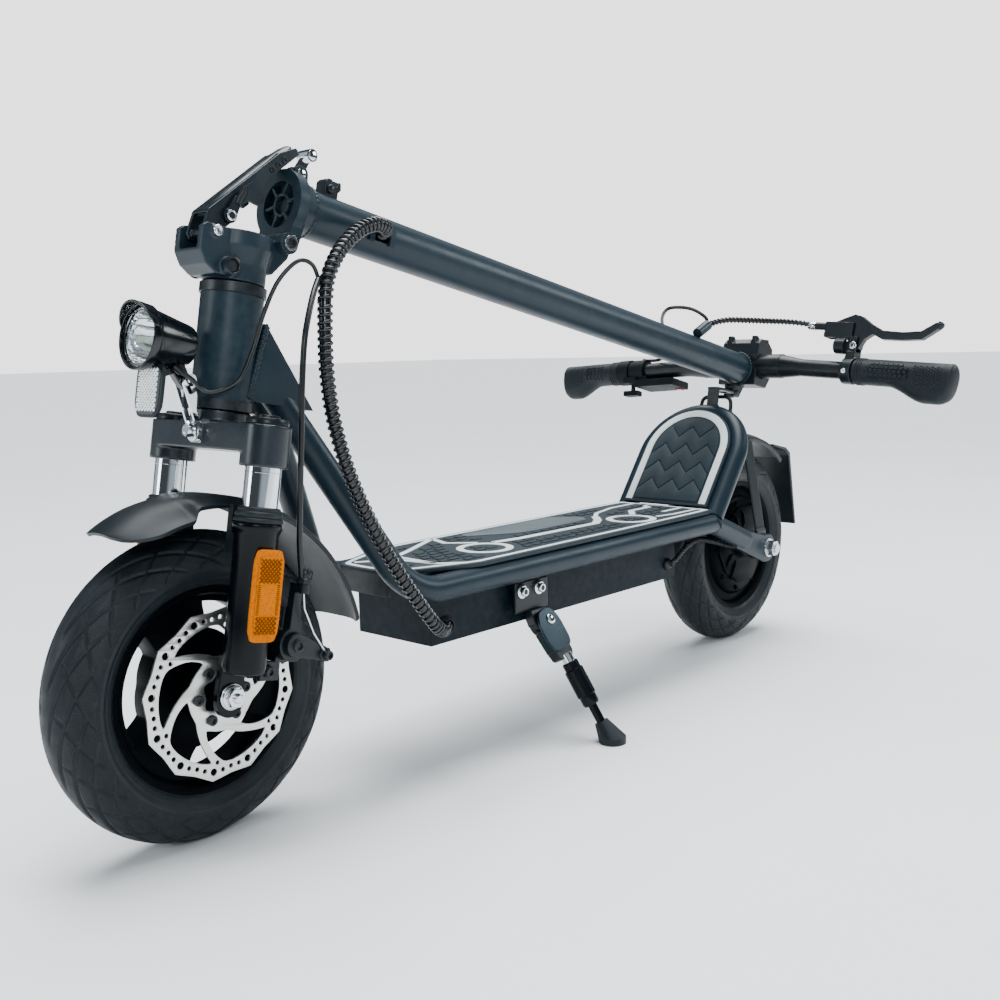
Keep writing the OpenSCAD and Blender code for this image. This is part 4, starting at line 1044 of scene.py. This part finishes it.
for side in (-1, 1):
    rail_end = T(-266, side * 64, 177.5) @ R(90, "Y") @ R(32, "Y")
    weld("weld_rail_%d" % (side + 1), ring_path(12.9, rail_end), 2.0, "frame")
weld("weld_stem_top", ring_path(20.9, T(35, 0, 763.4)), 2.2, "stem", STEM)
weld("weld_stem_foot", ring_path(21.6, T(35, 0, 24.4)), 2.0, "stem", STEM)
for side in (-1, 1):
    gusset = [Vector((-8.6 - 10.8 * t, side * 23.2, 235 + 61 * t)) for t in (0, 0.2, 0.4, 0.6, 0.8, 1)]
    weld("weld_gusset_%d" % (side + 1), gusset, 3.2, "frame", FORK, False)
weld("weld_gusset_top", [Vector((-20.6, y, 296.6)) for y in (-22, -10, 0, 10, 22)], 2.0, "frame", FORK, False)

# ---------------------------------------------------------------- head, hinge and latch
cast("hinge_base", 0.9, 3, CAST_PAINT)
cast("fork_crown", 1.0, 3, CROWN)
cast("latch_lever", 0.6, 5, CROWN)
cast("safety_catch", 0.5, 2, CAST)
cast("bar_clamp", 0.9, 3, CAST)
cast("brake_caliper", 0.7, 3, CAST)
cast("brake_arm", 0.6, 3, CAST)
cast("brake_lever", 0.7, 5, CAST)
cast("brake_perch", 0.8, 3, CAST)
cast("display", 0.6, 2, DULL)
cast("rear_fender", 1.2, 4, MOULDED)
cast("tail_lamp", 1.0, 3, MOULDED)
cast("rear_dropouts", 1.0, 3, CAST_PAINT)
cast("stand_bracket", 0.8, 2, CAST)
k = Kit()
for side in (-1, 1):
    m = mirror(side)
    k.lathe([(7.4, 0), (7.4, 1.2), (6.2, 1.6), (5.4, 1.0), (5.2, 0), (3.0, -0.4), (2.8, -1.6), (0, -1.8)], 32,
            m @ T(20, 25.4, 337) @ SIDE_TO_Y)
    k.bolt(4.6, 1.8, m @ T(-35, 25, 368) @ SIDE_TO_Y, 0.5)
make("head_screws", k, SATIN, "steerer", FORK)
k = Kit()
for side in (-1, 1):
    m = mirror(side)
    k.bolt(4.4, 2.4, m @ T(34, 21, 362) @ SIDE_TO_Y, 0.5)
k.lathe([(0, 0), (8.4, 0), (8.4, 1.2), (7.6, 1.6), (0, 1.6)], 32, T(23.6, 0, 205) @ R(90, "Y"))
k.bolt(5.4, 6.4, T(25.2, 0, 205) @ R(90, "Y"), 0.5)
make("latch_pin_heads", k, ZINC, "steerer", FORK)
# the lever's crowned back, the small screws near its end, and the screw and finger of the safety catch
k = Kit()
path = [(10.4, 0, z) for z in (10, 14, 24, 40, 60, 80, 98, 110, 116, 118.5)]
k.tube(path, [1.4, 3.0, 4.2, 4.9, 5.1, 4.9, 4.4, 3.6, 2.4, 0.8], 28,
       flat=[4, 3.2, 2.75, 2.4, 2.3, 2.3, 2.4, 2.5, 2.7, 4], up=(1, 0, 0))
make("latch_back", k, CROWN, "latch", LATCH)
k = Kit()
for side in (-1, 1):
    for z in (84, 92, 100):
        k.lathe([(2.4, 0), (2.4, 0.7), (1.7, 0.9), (1.5, 0.3), (0, 0.2)], 20,
                T(7.2, side * 11.4, z) @ R(-90 * side, "X"))
make("latch_screws", k, SATIN, "latch", LATCH)
k = Kit()
k.lathe([(0, 0), (4.2, 0), (4.6, 0.5), (4.6, 1.6), (3.4, 2.2), (2.2, 1.5), (0, 1.4)], 28,
        T(0, 15.1, 24) @ SIDE_TO_Y)
make("catch_screw", k, ZINC, "safety_catch", LATCH)
k = Kit()
k.tube([(3, 13.6, 36), (6, 14.2, 41), (8, 15.6, 46), (11, 16.6, 49)], [3.4, 3.6, 3.2, 2.4], 14, flat=0.7)
make("catch_finger", k, CAST, "safety_catch", LATCH)
# eyebolt nuts
k, caps = Kit(), Kit()
for side in (-1, 1):
    k.lathe([(0, 0), (4.4, 0), (4.4, 0.4), (3.6, 0.8), (0, 0.8)], 24,
            T(83, side * 7.3, 23) @ R(-90 * side, "X"))
    caps.lathe([(0, 0), (4.4, 0), (4.4, 0.5), (3.4, 1.0), (0, 1.1)], 24,
               T(64.5, side * 7.0, 14.5) @ R(-90 * side, "X"))
make("eyebolt_nuts", k, CHROME, "eyebolt", STEM, 0.2, 1)
make("eyebolt_pin_caps", caps, CHROME, "stem", STEM, 0.2, 1)
# ribs inside the mouth of the stem's foot
k = Kit()
for i in range(6):
    k.box(9, 20.4, -1.3, 1.3, 1.2, 7.2, T(35, 0, 0) @ R(60 * i + 20, "Z"))
k.lathe([(8, 7.2), (8, 2.4), (10.5, 2.4), (10.5, 7.2)], 32, T(35, 0, 0), closed=True)
make("stem_mouth_ribs", k, CAST_PAINT, "stem", STEM, 0.4, 1)
# chrome tubes of the fork with black caps
k, caps = Kit(), Kit()
for side in (-1, 1):
    m = T(0, side * LEG_Y, 0)
    k.lathe([(0, 201.5), (12, 201.5), (12, 62), (14.2, 63), (14.2, 212), (12, 213), (0, 213)], 64, m)
    caps.lathe([(0, 213), (15.6, 213.2), (16.6, 214.4), (16.6, 217.4), (15.4, 219.4), (12, 219.8),
                (11.4, 218.6), (9.4, 218.6), (9.0, 221.4), (8, 222), (4, 222), (3.6, 219), (0, 219)], 48,
               m, shape=lambda a, r: 1 + (0.012 * cos(24 * a) if r > 16 else 0))
    k.lathe([(14.2, 176.5), (14.5, 176.7), (14.5, 177.2), (14.2, 177.4)], 64, m, closed=True)
make("fork_tubes", k, CHROME, "steerer", FORK, node="stanchions")
make("fork_caps", caps, SATIN, "steerer", FORK, 0.3, 1)
k = Kit()
for side in (-1, 1):
    for z in (198, 208):
        k.bolt(2.6, 2, T(-18.6, side * 52, z) @ R(-90, "Y"), 0.5, 18)
    k.lathe([(5, 213.9), (5.6, 214.4), (5.4, 215.6), (3.2, 215.8), (3.0, 214.6), (0, 214.5)], 24,
            T(7, side * 37, 0))
make("crown_screws", k, SATIN, "steerer", FORK)
# dust seals and lower legs
k = Kit()
for side in (-1, 1):
    m = T(0, side * LEG_Y, 0)
    k.lathe([(14.25, 138), (18.2, 138), (19.2, 138.8), (19.4, 140.2), (18.6, 141.4), (17.6, 142.2),
             (18.4, 143.2), (18.4, 145.4), (17.6, 146.4), (16.4, 147.2), (16.8, 148.4), (16.2, 149.6),
             (14.25, 150.4)], 64, m, closed=True)
make("seals", k, RUBBER, "fork_lowers", FORK, node="dust_seals", smooth=60)
k = Kit()
for side in (-1, 1):
    m = T(0, side * LEG_Y, 0)
    k.lathe([(14.6, 36), (14.6, 137.9), (18.6, 137.9), (19.4, 136.8), (19.4, 133.6), (18.2, 131.4),
             (17.2, 129), (17.1, 60), (17.3, 26), (16.6, 22), (13.4, 20), (6, 19.4), (5.6, 24), (0, 24),
             (0, 34), (13, 34)], 64, m)
    y0, y1 = sorted((side * 45.6, side * 52))
    k.slab(soften([(-13, 2), (-11, 12), (-11, 34), (-9, 46), (9, 46), (11, 34), (12, 12), (13, 2),
                   (12, -10), (5, -17), (-5, -17), (-12, -10)], 2, 0.25), y0, y1)
for z in (14, 58):
    k.box(-40, -12, 47, 55, z, z + 12)
make("legs", k, GLOSS, "fork_lowers", FORK, 0.9, 2, node="lower_legs", smooth=50)


def step(a, b, t):
    """Smooth rise from 0 at a to 1 at b."""
    t = min(max((t - a) / (b - a), 0), 1)
    return t * t * (3 - 2 * t)


# front fender: a wide, drooping nose ahead of the legs and a narrower strip behind them
FENDER_R, FENDER_FROM, FENDER_TO, FENDER_WALL = 156.5, 50.5, 158.5, 3.0
rows, cols = 108, 36
v = []
for inner in (0, FENDER_WALL):
    for i in range(rows + 1):
        phi = FENDER_FROM + (FENDER_TO - FENDER_FROM) * i / rows
        tail = step(72.5, 76.5, phi)
        nose = min((phi - FENDER_FROM) / 13, 1)
        rear = min((FENDER_TO - phi) / 4, 1)
        half = (42.5 * (1 - tail) + 38.5 * tail) * (0.34 + 0.66 * math.sqrt(1 - (1 - nose) ** 2))
        half *= 0.86 + 0.14 * math.sqrt(1 - (1 - rear) ** 2)
        drop = (15 - 7 * tail) * (half / 42.5) ** 2
        for j in range(cols + 1):
            u = 2 * j / cols - 1
            r = FENDER_R - drop * abs(u) ** (2.3 + 2 * tail) - inner - 1.5 * (1 - nose)
            v.append((r * cos(rad(phi)), half * u * (1 - inner * 0.01), r * sin(rad(phi))))
across = cols + 1
skin = across * (rows + 1)
f = []
for q in quads(rows + 1, across, False, False):
    f += [q, [skin + n for n in reversed(q)]]
edge = list(range(cols)) + [i * across + cols for i in range(rows)]
edge += [rows * across + j for j in range(cols, 0, -1)] + [i * across for i in range(rows, 0, -1)]
f += [[b, a, skin + a, skin + b] for a, b in zip(edge, edge[1:] + edge[:1])]
k = Kit()
k.add(v, f)
for side in (-1, 1):
    y0, y1 = sorted((side * 37.5, side * 43.8))
    k.box(-10, 10, y0, y1, 112, 150)
    y0, y1 = sorted((side * 43.5, side * 46.9))
    k.box(-10, 10, y0, y1, 112, 128)
make("front_fender_shell", k, FENDER, "fork_lowers", FORK, 0.5, 2, node="front_fender", smooth=45)
# front axle with its spacers and nuts
k = Kit()
for side in (-1, 1):
    m = mirror(side)
    k.lathe([(0, 30), (5, 30), (5, 52), (10.4, 52), (10.8, 52.5), (10.8, 53.6), (10.2, 54), (5, 54),
             (0, 54)], 48, m @ SIDE_TO_Y)
    k.nut(14.5, 6.5, 3.9, m @ T(0, 54, 0) @ SIDE_TO_Y)
make("front_axle_nuts", k, ZINC, "fork_lowers", FORK, 0.35, 1, node="front_axle")
# caliper: cable clamp, barrel, springs and bolts
k = Kit()
k.bolt(5.4, 2.6, T(-44, 73, 42) @ SIDE_TO_Y, 0.5)
for z in (20, 64):
    k.bolt(4.2, 2.6, T(-26, 62.6, z) @ SIDE_TO_Y, 0.5)
k.lathe([(0, 0), (5.6, 0), (5.6, 1), (4.8, 1.6), (0, 1.8)], 6, T(-50, 45, 26) @ R(180, "X"))
k.lathe([(3.2, 92.4), (6.2, 92.4), (6.2, 96), (5.0, 97), (5.4, 98), (5.4, 102), (4.2, 104), (2.6, 104)], 16,
        T(-44, 73.5, 0), closed=True, shape=lambda a, r: 1 + (0.05 * cos(8 * a) if r > 5.3 else 0))
for i in range(7):
    k.box(8.6, 9.6, -1.2, 1.2, 61, 67.4, T(-44, 0, 42) @ R(52 * i, "Y") @ SIDE_TO_Y)
make("caliper_bolts", k, SATIN, "fork_lowers", FORK)
k = Kit()
turns = [(-44 + 11.4 * cos(2 * pi * t / 16), 57.5 + 0.9 * t / 8, 42 + 11.4 * sin(2 * pi * t / 16))
         for t in range(50)]
k.tube(turns, 0.8, 8)
k.tube([(-44, 73.5, 84), (-46, 73.6, 72), (-58, 73.8, 52), (-73, 74.2, 35)], 0.9, 8)
make("caliper_spring", k, ZINC, "fork_lowers", FORK)
k = Kit()
k.bolt(4.0, 2.8, T(-73, 76.8, 34) @ SIDE_TO_Y, 0.5)
k.lathe([(6.5, 0), (6.5, 1), (5.6, 1.4), (0, 1.5)], 6, T(-73, 73, 34) @ SIDE_TO_Y)
make("arm_clamp", k, SATIN, "brake_arm", FORK)
# side stand: the pivot plate, its rivet, the block behind it, the leg's tube and the foot's lip
k = Kit()
wall = soften([(-14, -33), (15, -33), (19.5, -18), (19, 0), (12, 11), (2, 13), (-8, 11), (-14, -2)], 2, 0.2)
k.slab(wall, 2.2, 4.8)
for side in (-1, 1):
    x = 14 if side < 0 else 18
    k.slab([(side * (x - 2), -31), (side * (x + 0.4), -8), (side * (x - 2), -8), (side * (x - 4), -31)],
           -8, 4.4)
make("stand_plate", k, ALLOY, "side_stand", STAND, 0.8, 2, node="stand_leg")
k = Kit()
k.lathe([(0, 0), (5.6, 0), (5.4, 1.4), (3.6, 2.6), (0, 3.0)], 28, T(0, 4.8, 0) @ SIDE_TO_Y)
k.lathe([(0, -52), (6.2, -52), (6.2, -38), (0, -38)], 28)
k.lathe([(0, 0), (5.2, 0), (5.2, 2), (0, 2.4)], 6, T(0, -15, 0) @ R(90, "X"))
make("stand_rivet", k, CHROME, "side_stand", STAND, 0.3, 1)
k = Kit()
k.slab(soften([(-11.5, -42), (11.5, -42), (15.5, -24), (15.5, -4), (-11.5, -4)], 1, 0.12), -9.5, 2.2)
k.lathe([(4, -3), (12, -3), (12, 2), (4, 2)], 32, SIDE_TO_Y, closed=True)
make("stand_block", k, SATIN, "side_stand", STAND, 0.8, 2)
k = Kit()
k.lathe([(0, -47), (7.4, -47), (8.4, -48), (8.4, -55), (9.8, -56), (9.8, -84), (8.6, -85), (8.6, -93),
         (7.6, -95), (4.5, -95.4), (4.5, -127), (0, -127)], 48)
make("stand_tube", k, GLOSS, "side_stand", STAND)
k = Kit()
k.lathe([(4.6, -116), (6.6, -115), (7.4, -117), (7.6, -121), (7.2, -122), (4.6, -122)], 32, closed=True)
make("stand_foot_lip", k, RUBBER, "side_stand", STAND)
k = Kit()
for x in (59, 85):
    k.lathe([(0, 0), (7, 0), (7, 1.2), (6.2, 1.5), (0, 1.5)], 28, T(x, 63, 154) @ SIDE_TO_Y)
    k.bolt(4.6, 4.4, T(x, 64.4, 154) @ SIDE_TO_Y, 0.55)
make("stand_screws", k, CHROME, "frame")
# grips: end cap ring, raised panels of squares and dots on both sides
GRIP_R, WING_OUT = 16.3, 17.0


def wing(t):
    """How far the palm rest stands out of the grip, t from 0 at its inner end to 1 at the bar's end."""
    rise = min(max((t - 0.34) / 0.4, 0), 1)
    fall = min(max((1 - t) / 0.16, 0), 1)
    return WING_OUT * rise * rise * (3 - 2 * rise) * math.sqrt(max(1 - (1 - fall) ** 2, 0))


def squeeze(t):
    """The grip is thinner across where its palm rest is wide."""
    return 1 - 0.18 * min(wing(t) / WING_OUT, 1)


def grip_r(t, a):
    """The grip's radius at t along it and angle a, where 0 is towards the palm rest."""
    off = min(a % (2 * pi), 2 * pi - a % (2 * pi))
    body = GRIP_R * math.sqrt(max(1 - max((t - 0.955) / 0.047, 0) ** 2, 0.0)) if t > 0.955 else GRIP_R
    return max(body, 0.4) + wing(t) * max(cos(off), 0) ** 2.4


for side, place, z0 in ((1, BAR_L, 112), (-1, BAR_R, 144)):
    grip_len = 240.0 - z0
    rows, cols = 60, 64
    k = Kit()
    ts = [0, 0.004] + [0.012 + 0.943 * i / (rows - 14) for i in range(rows - 13)]
    ts += [0.963, 0.972, 0.98, 0.987, 0.993, 0.997, 1.0]
    v = []
    for i, t in enumerate(ts):
        for j in range(cols):
            a = 2 * pi * j / cols
            r = grip_r(t, a) - (1.2 if i == 0 else 0)
            v.append((-r * cos(a), r * sin(a) * squeeze(t), z0 + grip_len * t))
    last = (len(ts) - 1) * cols
    k.add(v, quads(len(ts), cols) + [[last + j for j in range(cols)], [cols - 1 - j for j in range(cols)]])
    make("grip_%d" % (side + 1), k, RUBBER, "stem", place, 0, node="grips" if side > 0 else None,
         smooth=60)
    k = Kit()
    squares = 9 if side > 0 else 6
    for face in (-1, 1):
        for i in range(-2, 3):
            for j in range(squares):
                z = z0 + 20 + j * 6.2 + 1.5 * (i % 2)
                room = 1 - ((j - squares // 2) / (squares * 0.58)) ** 2
                if abs(i) > 2.6 * math.sqrt(max(room, 0)):
                    continue
                m = R(90 * face + i * 17, "Z") @ T(GRIP_R, 0, z)
                k.box(-1, 0.9, -1.9, 1.9, -2.4, 2.4, m)
        for i in range(-3, 4):
            for j in range(10 if side > 0 else 7):
                z = z0 + 26 + squares * 6.0 + j * 3.6
                a = rad(90 * face + i * 12 + (6 if j % 2 else 0))
                t = (z - z0) / grip_len
                r = grip_r(t, pi - a)
                k.lathe([(1.3, -0.6), (1.2, 0.5), (0.7, 0.9), (0, 1.0)], 8,
                        to((r * cos(a), r * sin(a) * squeeze(t), z), (cos(a), sin(a), 0)))
    for z in (z0 + 3, z0 + 6.5, z0 + 10):
        k.lathe([(16.2, z), (17.2, z + 0.4), (17.2, z + 1.6), (16.2, z + 2)], 48, closed=True)
    make("grip_tread_%d" % (side + 1), k, RUBBER, "stem", place, 0.25, 1)
# the lever's tip, and the bolts of the perch and the clamp
k = Kit()
k.lathe([(0, -4.4), (3.2, -3.6), (4.6, -1), (4.9, 1.5), (4, 4.4), (0, 5.6)], 28, T(60.5, 0, 208) @ R(60, "Y"))
make("lever_tip", k, CAST, "brake_lever", BAR_L)
k = Kit()
for side in (-1, 1):
    k.lathe([(4.6, 0), (4.6, 0.9), (3.4, 1.7), (1.8, 1.7), (1.6, 0.7), (0, 0.6)], 28,
            T(31, side * 9, 105) @ R(-90 * side, "X"))
k.bolt(3.2, 2.4, T(-3, 16.4, 103) @ SIDE_TO_Y, 0.5)
k.lathe([(2.7, 34), (4.4, 34), (5.4, 36), (5.4, 44), (4.6, 45.5), (2.7, 45.5)], 20, T(55, 0, 0), closed=True,
        shape=lambda a, r: 1 + (0.05 * cos(10 * a) if r > 5 else 0))
make("perch_screws", k, ZINC, "stem", BAR_L)
k = Kit()
for y in (-18, 18):
    for z in (-9, 19):
        k.bolt(4.2, 2.2, T(78, y, 780 + z) @ R(90, "Y"), 0.5)
make("clamp_bolts", k, SATIN, "stem", STEM)
k = Kit()
k.slab([(52, 41.4), (67, 41.4), (70, 44), (70, 48), (65, 49), (65, 54), (69.5, 55.4), (69.5, 58),
        (63, 59), (60, 56), (52, 56)], -6.8, 6.8)
k.lathe([(0, 0), (4, 0), (4, 1.6), (2.6, 2.4), (0, 2.4)], 24, T(61, 6.8, 47) @ SIDE_TO_Y)
make("stem_catch", k, SATIN, "stem", STEM, 0.7, 2)
# the stamped fold hook and the loop it catches
face = soften([(-3.3, 757), (3.3, 757), (3.3, 748), (10.5, 744), (10.5, 716), (8, 710), (-8, 710),
               (-10.5, 716), (-10.5, 744), (-3.3, 748)], 1, 0.18)
gap = soften([(-6, 741), (6, 741), (6.6, 727), (-6.6, 727)], 2, 0.2)
plate("hook_plate", [face, gap], 3.2, SATIN, "fold_hook", STEM @ T(-1.8, 0, 0) @ ACROSS, 0.5, "fold_hook")
k = Kit()
k.lathe([(3.15, -3.3), (6.8, -3.3), (6.8, 3.3), (3.15, 3.3)], 32, T(1, 0, 755) @ SIDE_TO_Y, closed=True)
k.slab([(-24, 710.5), (1, 709.6), (1, 712.6), (-21, 713.4), (-22, 716), (-24, 716)], -8, 8)
make("hook_lip", k, SATIN, "fold_hook", STEM, 0.5, 1)
k = Kit()
k.tube(spline([(-31, 22, 721), (-22, 22, 721), (-14, 20, 721), (-10.3, 14, 721), (-10, 5, 721),
               (-10, -5, 721), (-10.3, -14, 721), (-14, -20, 721), (-22, -22, 721), (-31, -22, 721)], 6),
       2.5, 16)
make("hook_loop_arch", k, SATIN, "frame", STEM, node="hook_loop", smooth=60)
k = Kit()
for y in (-22, 22):
    k.tube([(-381, y, 303.8), (-366, y, 300.8)], 2.6, 16)
make("hook_loop_feet", k, SATIN, "frame", PART, smooth=60)
# the battery box's screws and the tail lamp's lens
k = Kit()
for x in (195, 60, -80, -200):
    for side in (-1, 1):
        k.bolt(3.0, 1.6, T(x, side * 50, 176) @ R(-90 * side, "X"), 0.5, 18)
make("box_screws", k, SATIN, "frame")
k = Kit()
back = [(AXLE_X - x, z) for x, z in ((946.4, 231.5), (957.6, 228.5), (961.6, 206.5), (951.4, 204.5))]
k.slab(soften(back, 2, 0.15), -14, 14, T(-1.6, 0, 0))
make("tail_lens", k, RED_REF, "frame", PART, 0.6, 2)

# ---------------------------------------------------------------- headlamp
LAMP = FORK @ T(56, 0, 271) @ R(90, "Y")
k = Kit()
k.lathe([(0, -20), (13, -20), (15.6, -18.6), (16.4, -16), (18, -8), (20.6, 4), (22.6, 13), (23.4, 17.5),
         (25.6, 19.5), (26, 25), (25.6, 26), (24.2, 26), (24.0, 20), (22.4, 15), (17, 4), (8, -6),
         (0, -7)], 64)
# the hood over the lamp: a section swept through an arc, longest in its middle
section, steps = ((25.6, 21), (26.4, 27), (26.8, 34), (25.2, 34), (24.8, 27), (24.6, 21)), 41
hood = []
for r, z in section:
    for i in range(steps):
        a = pi + rad(-74 + 148 * i / (steps - 1))
        reach = max(0.0, cos((a - pi) * 1.2)) ** 0.6
        hood.append((r * cos(a), r * sin(a), 21 + (z - 21) * (0.25 + 0.75 * reach)))
ends = [[j * steps + i for j in range(len(section))] for i in (0, steps - 1)]
k.add(hood, quads(len(section), steps, True, False) + ends)
make("lamp_shell", k, SHINY, "steerer", LAMP, 0.5, 2, node="headlamp")
k = Kit()
k.lathe([(23.8, 19.5), (22, 14), (16, 4), (7, -4), (6.4, -3), (15.2, 5), (21.0, 15), (22.8, 19.5)], 64,
        closed=True)
make("lamp_bowl", k, MIRROR, "steerer", LAMP, smooth=30)
k = Kit()
k.lathe([(0, 2), (8.5, 3), (9, 9), (6.5, 12), (0, 13)], 32)
k.box(-2.2, 2.2, -20, 20, 10.5, 12.5)
for i in range(12):
    spoke = [(0.35 * r * cos(pi * i / 6), 0.35 * r * sin(pi * i / 6), z)
             for r, z in ((24, 0), (44, 7), (62, 17.6))]
    k.tube(spoke, [0.5, 0.8, 0.6], 6)
make("lamp_led", k, LED, "steerer", LAMP)
k = Kit()
k.lathe([(24.2, 20.0), (24.2, 21.2), (20, 22.4), (12, 23.4), (0, 23.8), (0, 22.6), (12, 22.2),
         (20, 21.2)], 64)
k.lathe([(23.6, 21.4), (23.2, 22.6), (21.6, 22.8), (21.2, 21.6)], 64, closed=True)
make("lamp_glass", k, GLASS, "steerer", LAMP, node="lamp_lens")
k = Kit()
k.slab([(38, 236), (43, 240), (52, 250), (58, 251), (58, 258), (44, 262), (34, 246), (33, 238)], -4, 4)
k.slab([(64, 240), (66, 247), (46, 254), (44, 250)], -5, 5)
make("lamp_foot", k, SHINY, "steerer", FORK, 0.8)
refl = soften([(-18, 252), (18, 252), (18, 220), (12, 211), (-12, 211), (-18, 220)], 2, 0.14)
YZ = FORK @ T(64.5, 0, 0) @ ACROSS
plate("front_reflector_back", [refl], 3.0, PLASTIC, "steerer", YZ, 0.5)
small = [(x * 0.86, 232 + (y - 232) * 0.89) for x, y in refl]
plate("front_reflector", [small], 1.4, CLEAR_REF, "steerer", YZ, 0.4, lift=2.6)


def hatch(k, half_x, half_y, cx, cy, gap, lift, r):
    """Crossed diagonal ridges filling a rectangle."""
    n = int((half_x + half_y) / gap)
    for way in (-1, 1):
        for i in range(-n, n + 1):
            c = i * gap
            ends = []
            for x, y in ((-half_x, c - half_x * way), (half_x, c + half_x * way),
                         ((-half_y - c) * way, -half_y), ((half_y - c) * way, half_y)):
                if abs(x) <= half_x + 1e-6 and abs(y) <= half_y + 1e-6:
                    ends.append((x, y))
            ends = sorted(set((round(x, 4), round(y, 4)) for x, y in ends))
            if len(ends) >= 2 and math.dist(ends[0], ends[-1]) > 1:
                k.tube([(cx + x, cy + y, lift) for x, y in (ends[0], ends[-1])], r, 4)


k = Kit()
hatch(k, 13.2, 16.4, 0, 232, 4.0, 4.1, 0.8)
make("front_reflector_ribs", k, CLEAR_RIB, "steerer", YZ)

# ---------------------------------------------------------------- amber reflectors
for side in (-1, 1):
    m = FORK @ mirror(side) @ T(0, 81.3, 0) @ SWAP_YZ
    out = soften([(-13, 48), (13, 48), (13, 118), (-13, 118)], 3, 0.12)
    inn = soften([(-10.4, 53), (10.4, 53), (10.4, 113), (-10.4, 113)], 3, 0.12)
    plate("reflector_base_%d" % (side + 1), [out], 3.4, AMBER, "fork_lowers", m, 0.7,
          "side_reflectors" if side > 0 else None)
    plate("reflector_face_%d" % (side + 1), [inn], 1.6, AMBER, "fork_lowers", m, 0.5, lift=3.0)
    k = Kit()
    hatch(k, 9.6, 9.2, 0, 102.5, 3.6, 4.7, 0.62)
    hatch(k, 9.6, 6.6, 0, 60.5, 3.6, 4.7, 0.62)
    for xx in (-9.0, 9.0):
        for i in range(16):
            k.tube([(xx - 1.2, 69 + i * 1.5, 4.5), (xx + 1.2, 69 + i * 1.5, 4.5)], 0.45, 5)
    make("reflector_prisms_%d" % (side + 1), k, AMBER_DARK, "fork_lowers", m)

# ---------------------------------------------------------------- floor
floor = new_object("floor", bpy.data.meshes.new("floor"))
floor.data.from_pydata([(-30, -30, 0), (30, -30, 0), (30, 30, 0), (-30, 30, 0)], [], [(0, 1, 2, 3)])
fn = Nodes("floor")
fn.link(fn.blend(fn.noise(3), (0.88, 0.885, 0.89), (0.9, 0.905, 0.91)), fn.b.inputs["Base Color"])
fn.set(Roughness=0.75, Specular_IOR_Level=0.2)
floor.data.materials.append(fn.m)

for name, node in frame["nodes"].items():
    if not node.hide_render:
        for p in node.data.polygons:
            p.use_smooth = True
        node.data.set_sharp_from_angle(angle=EDGE_ANGLE)
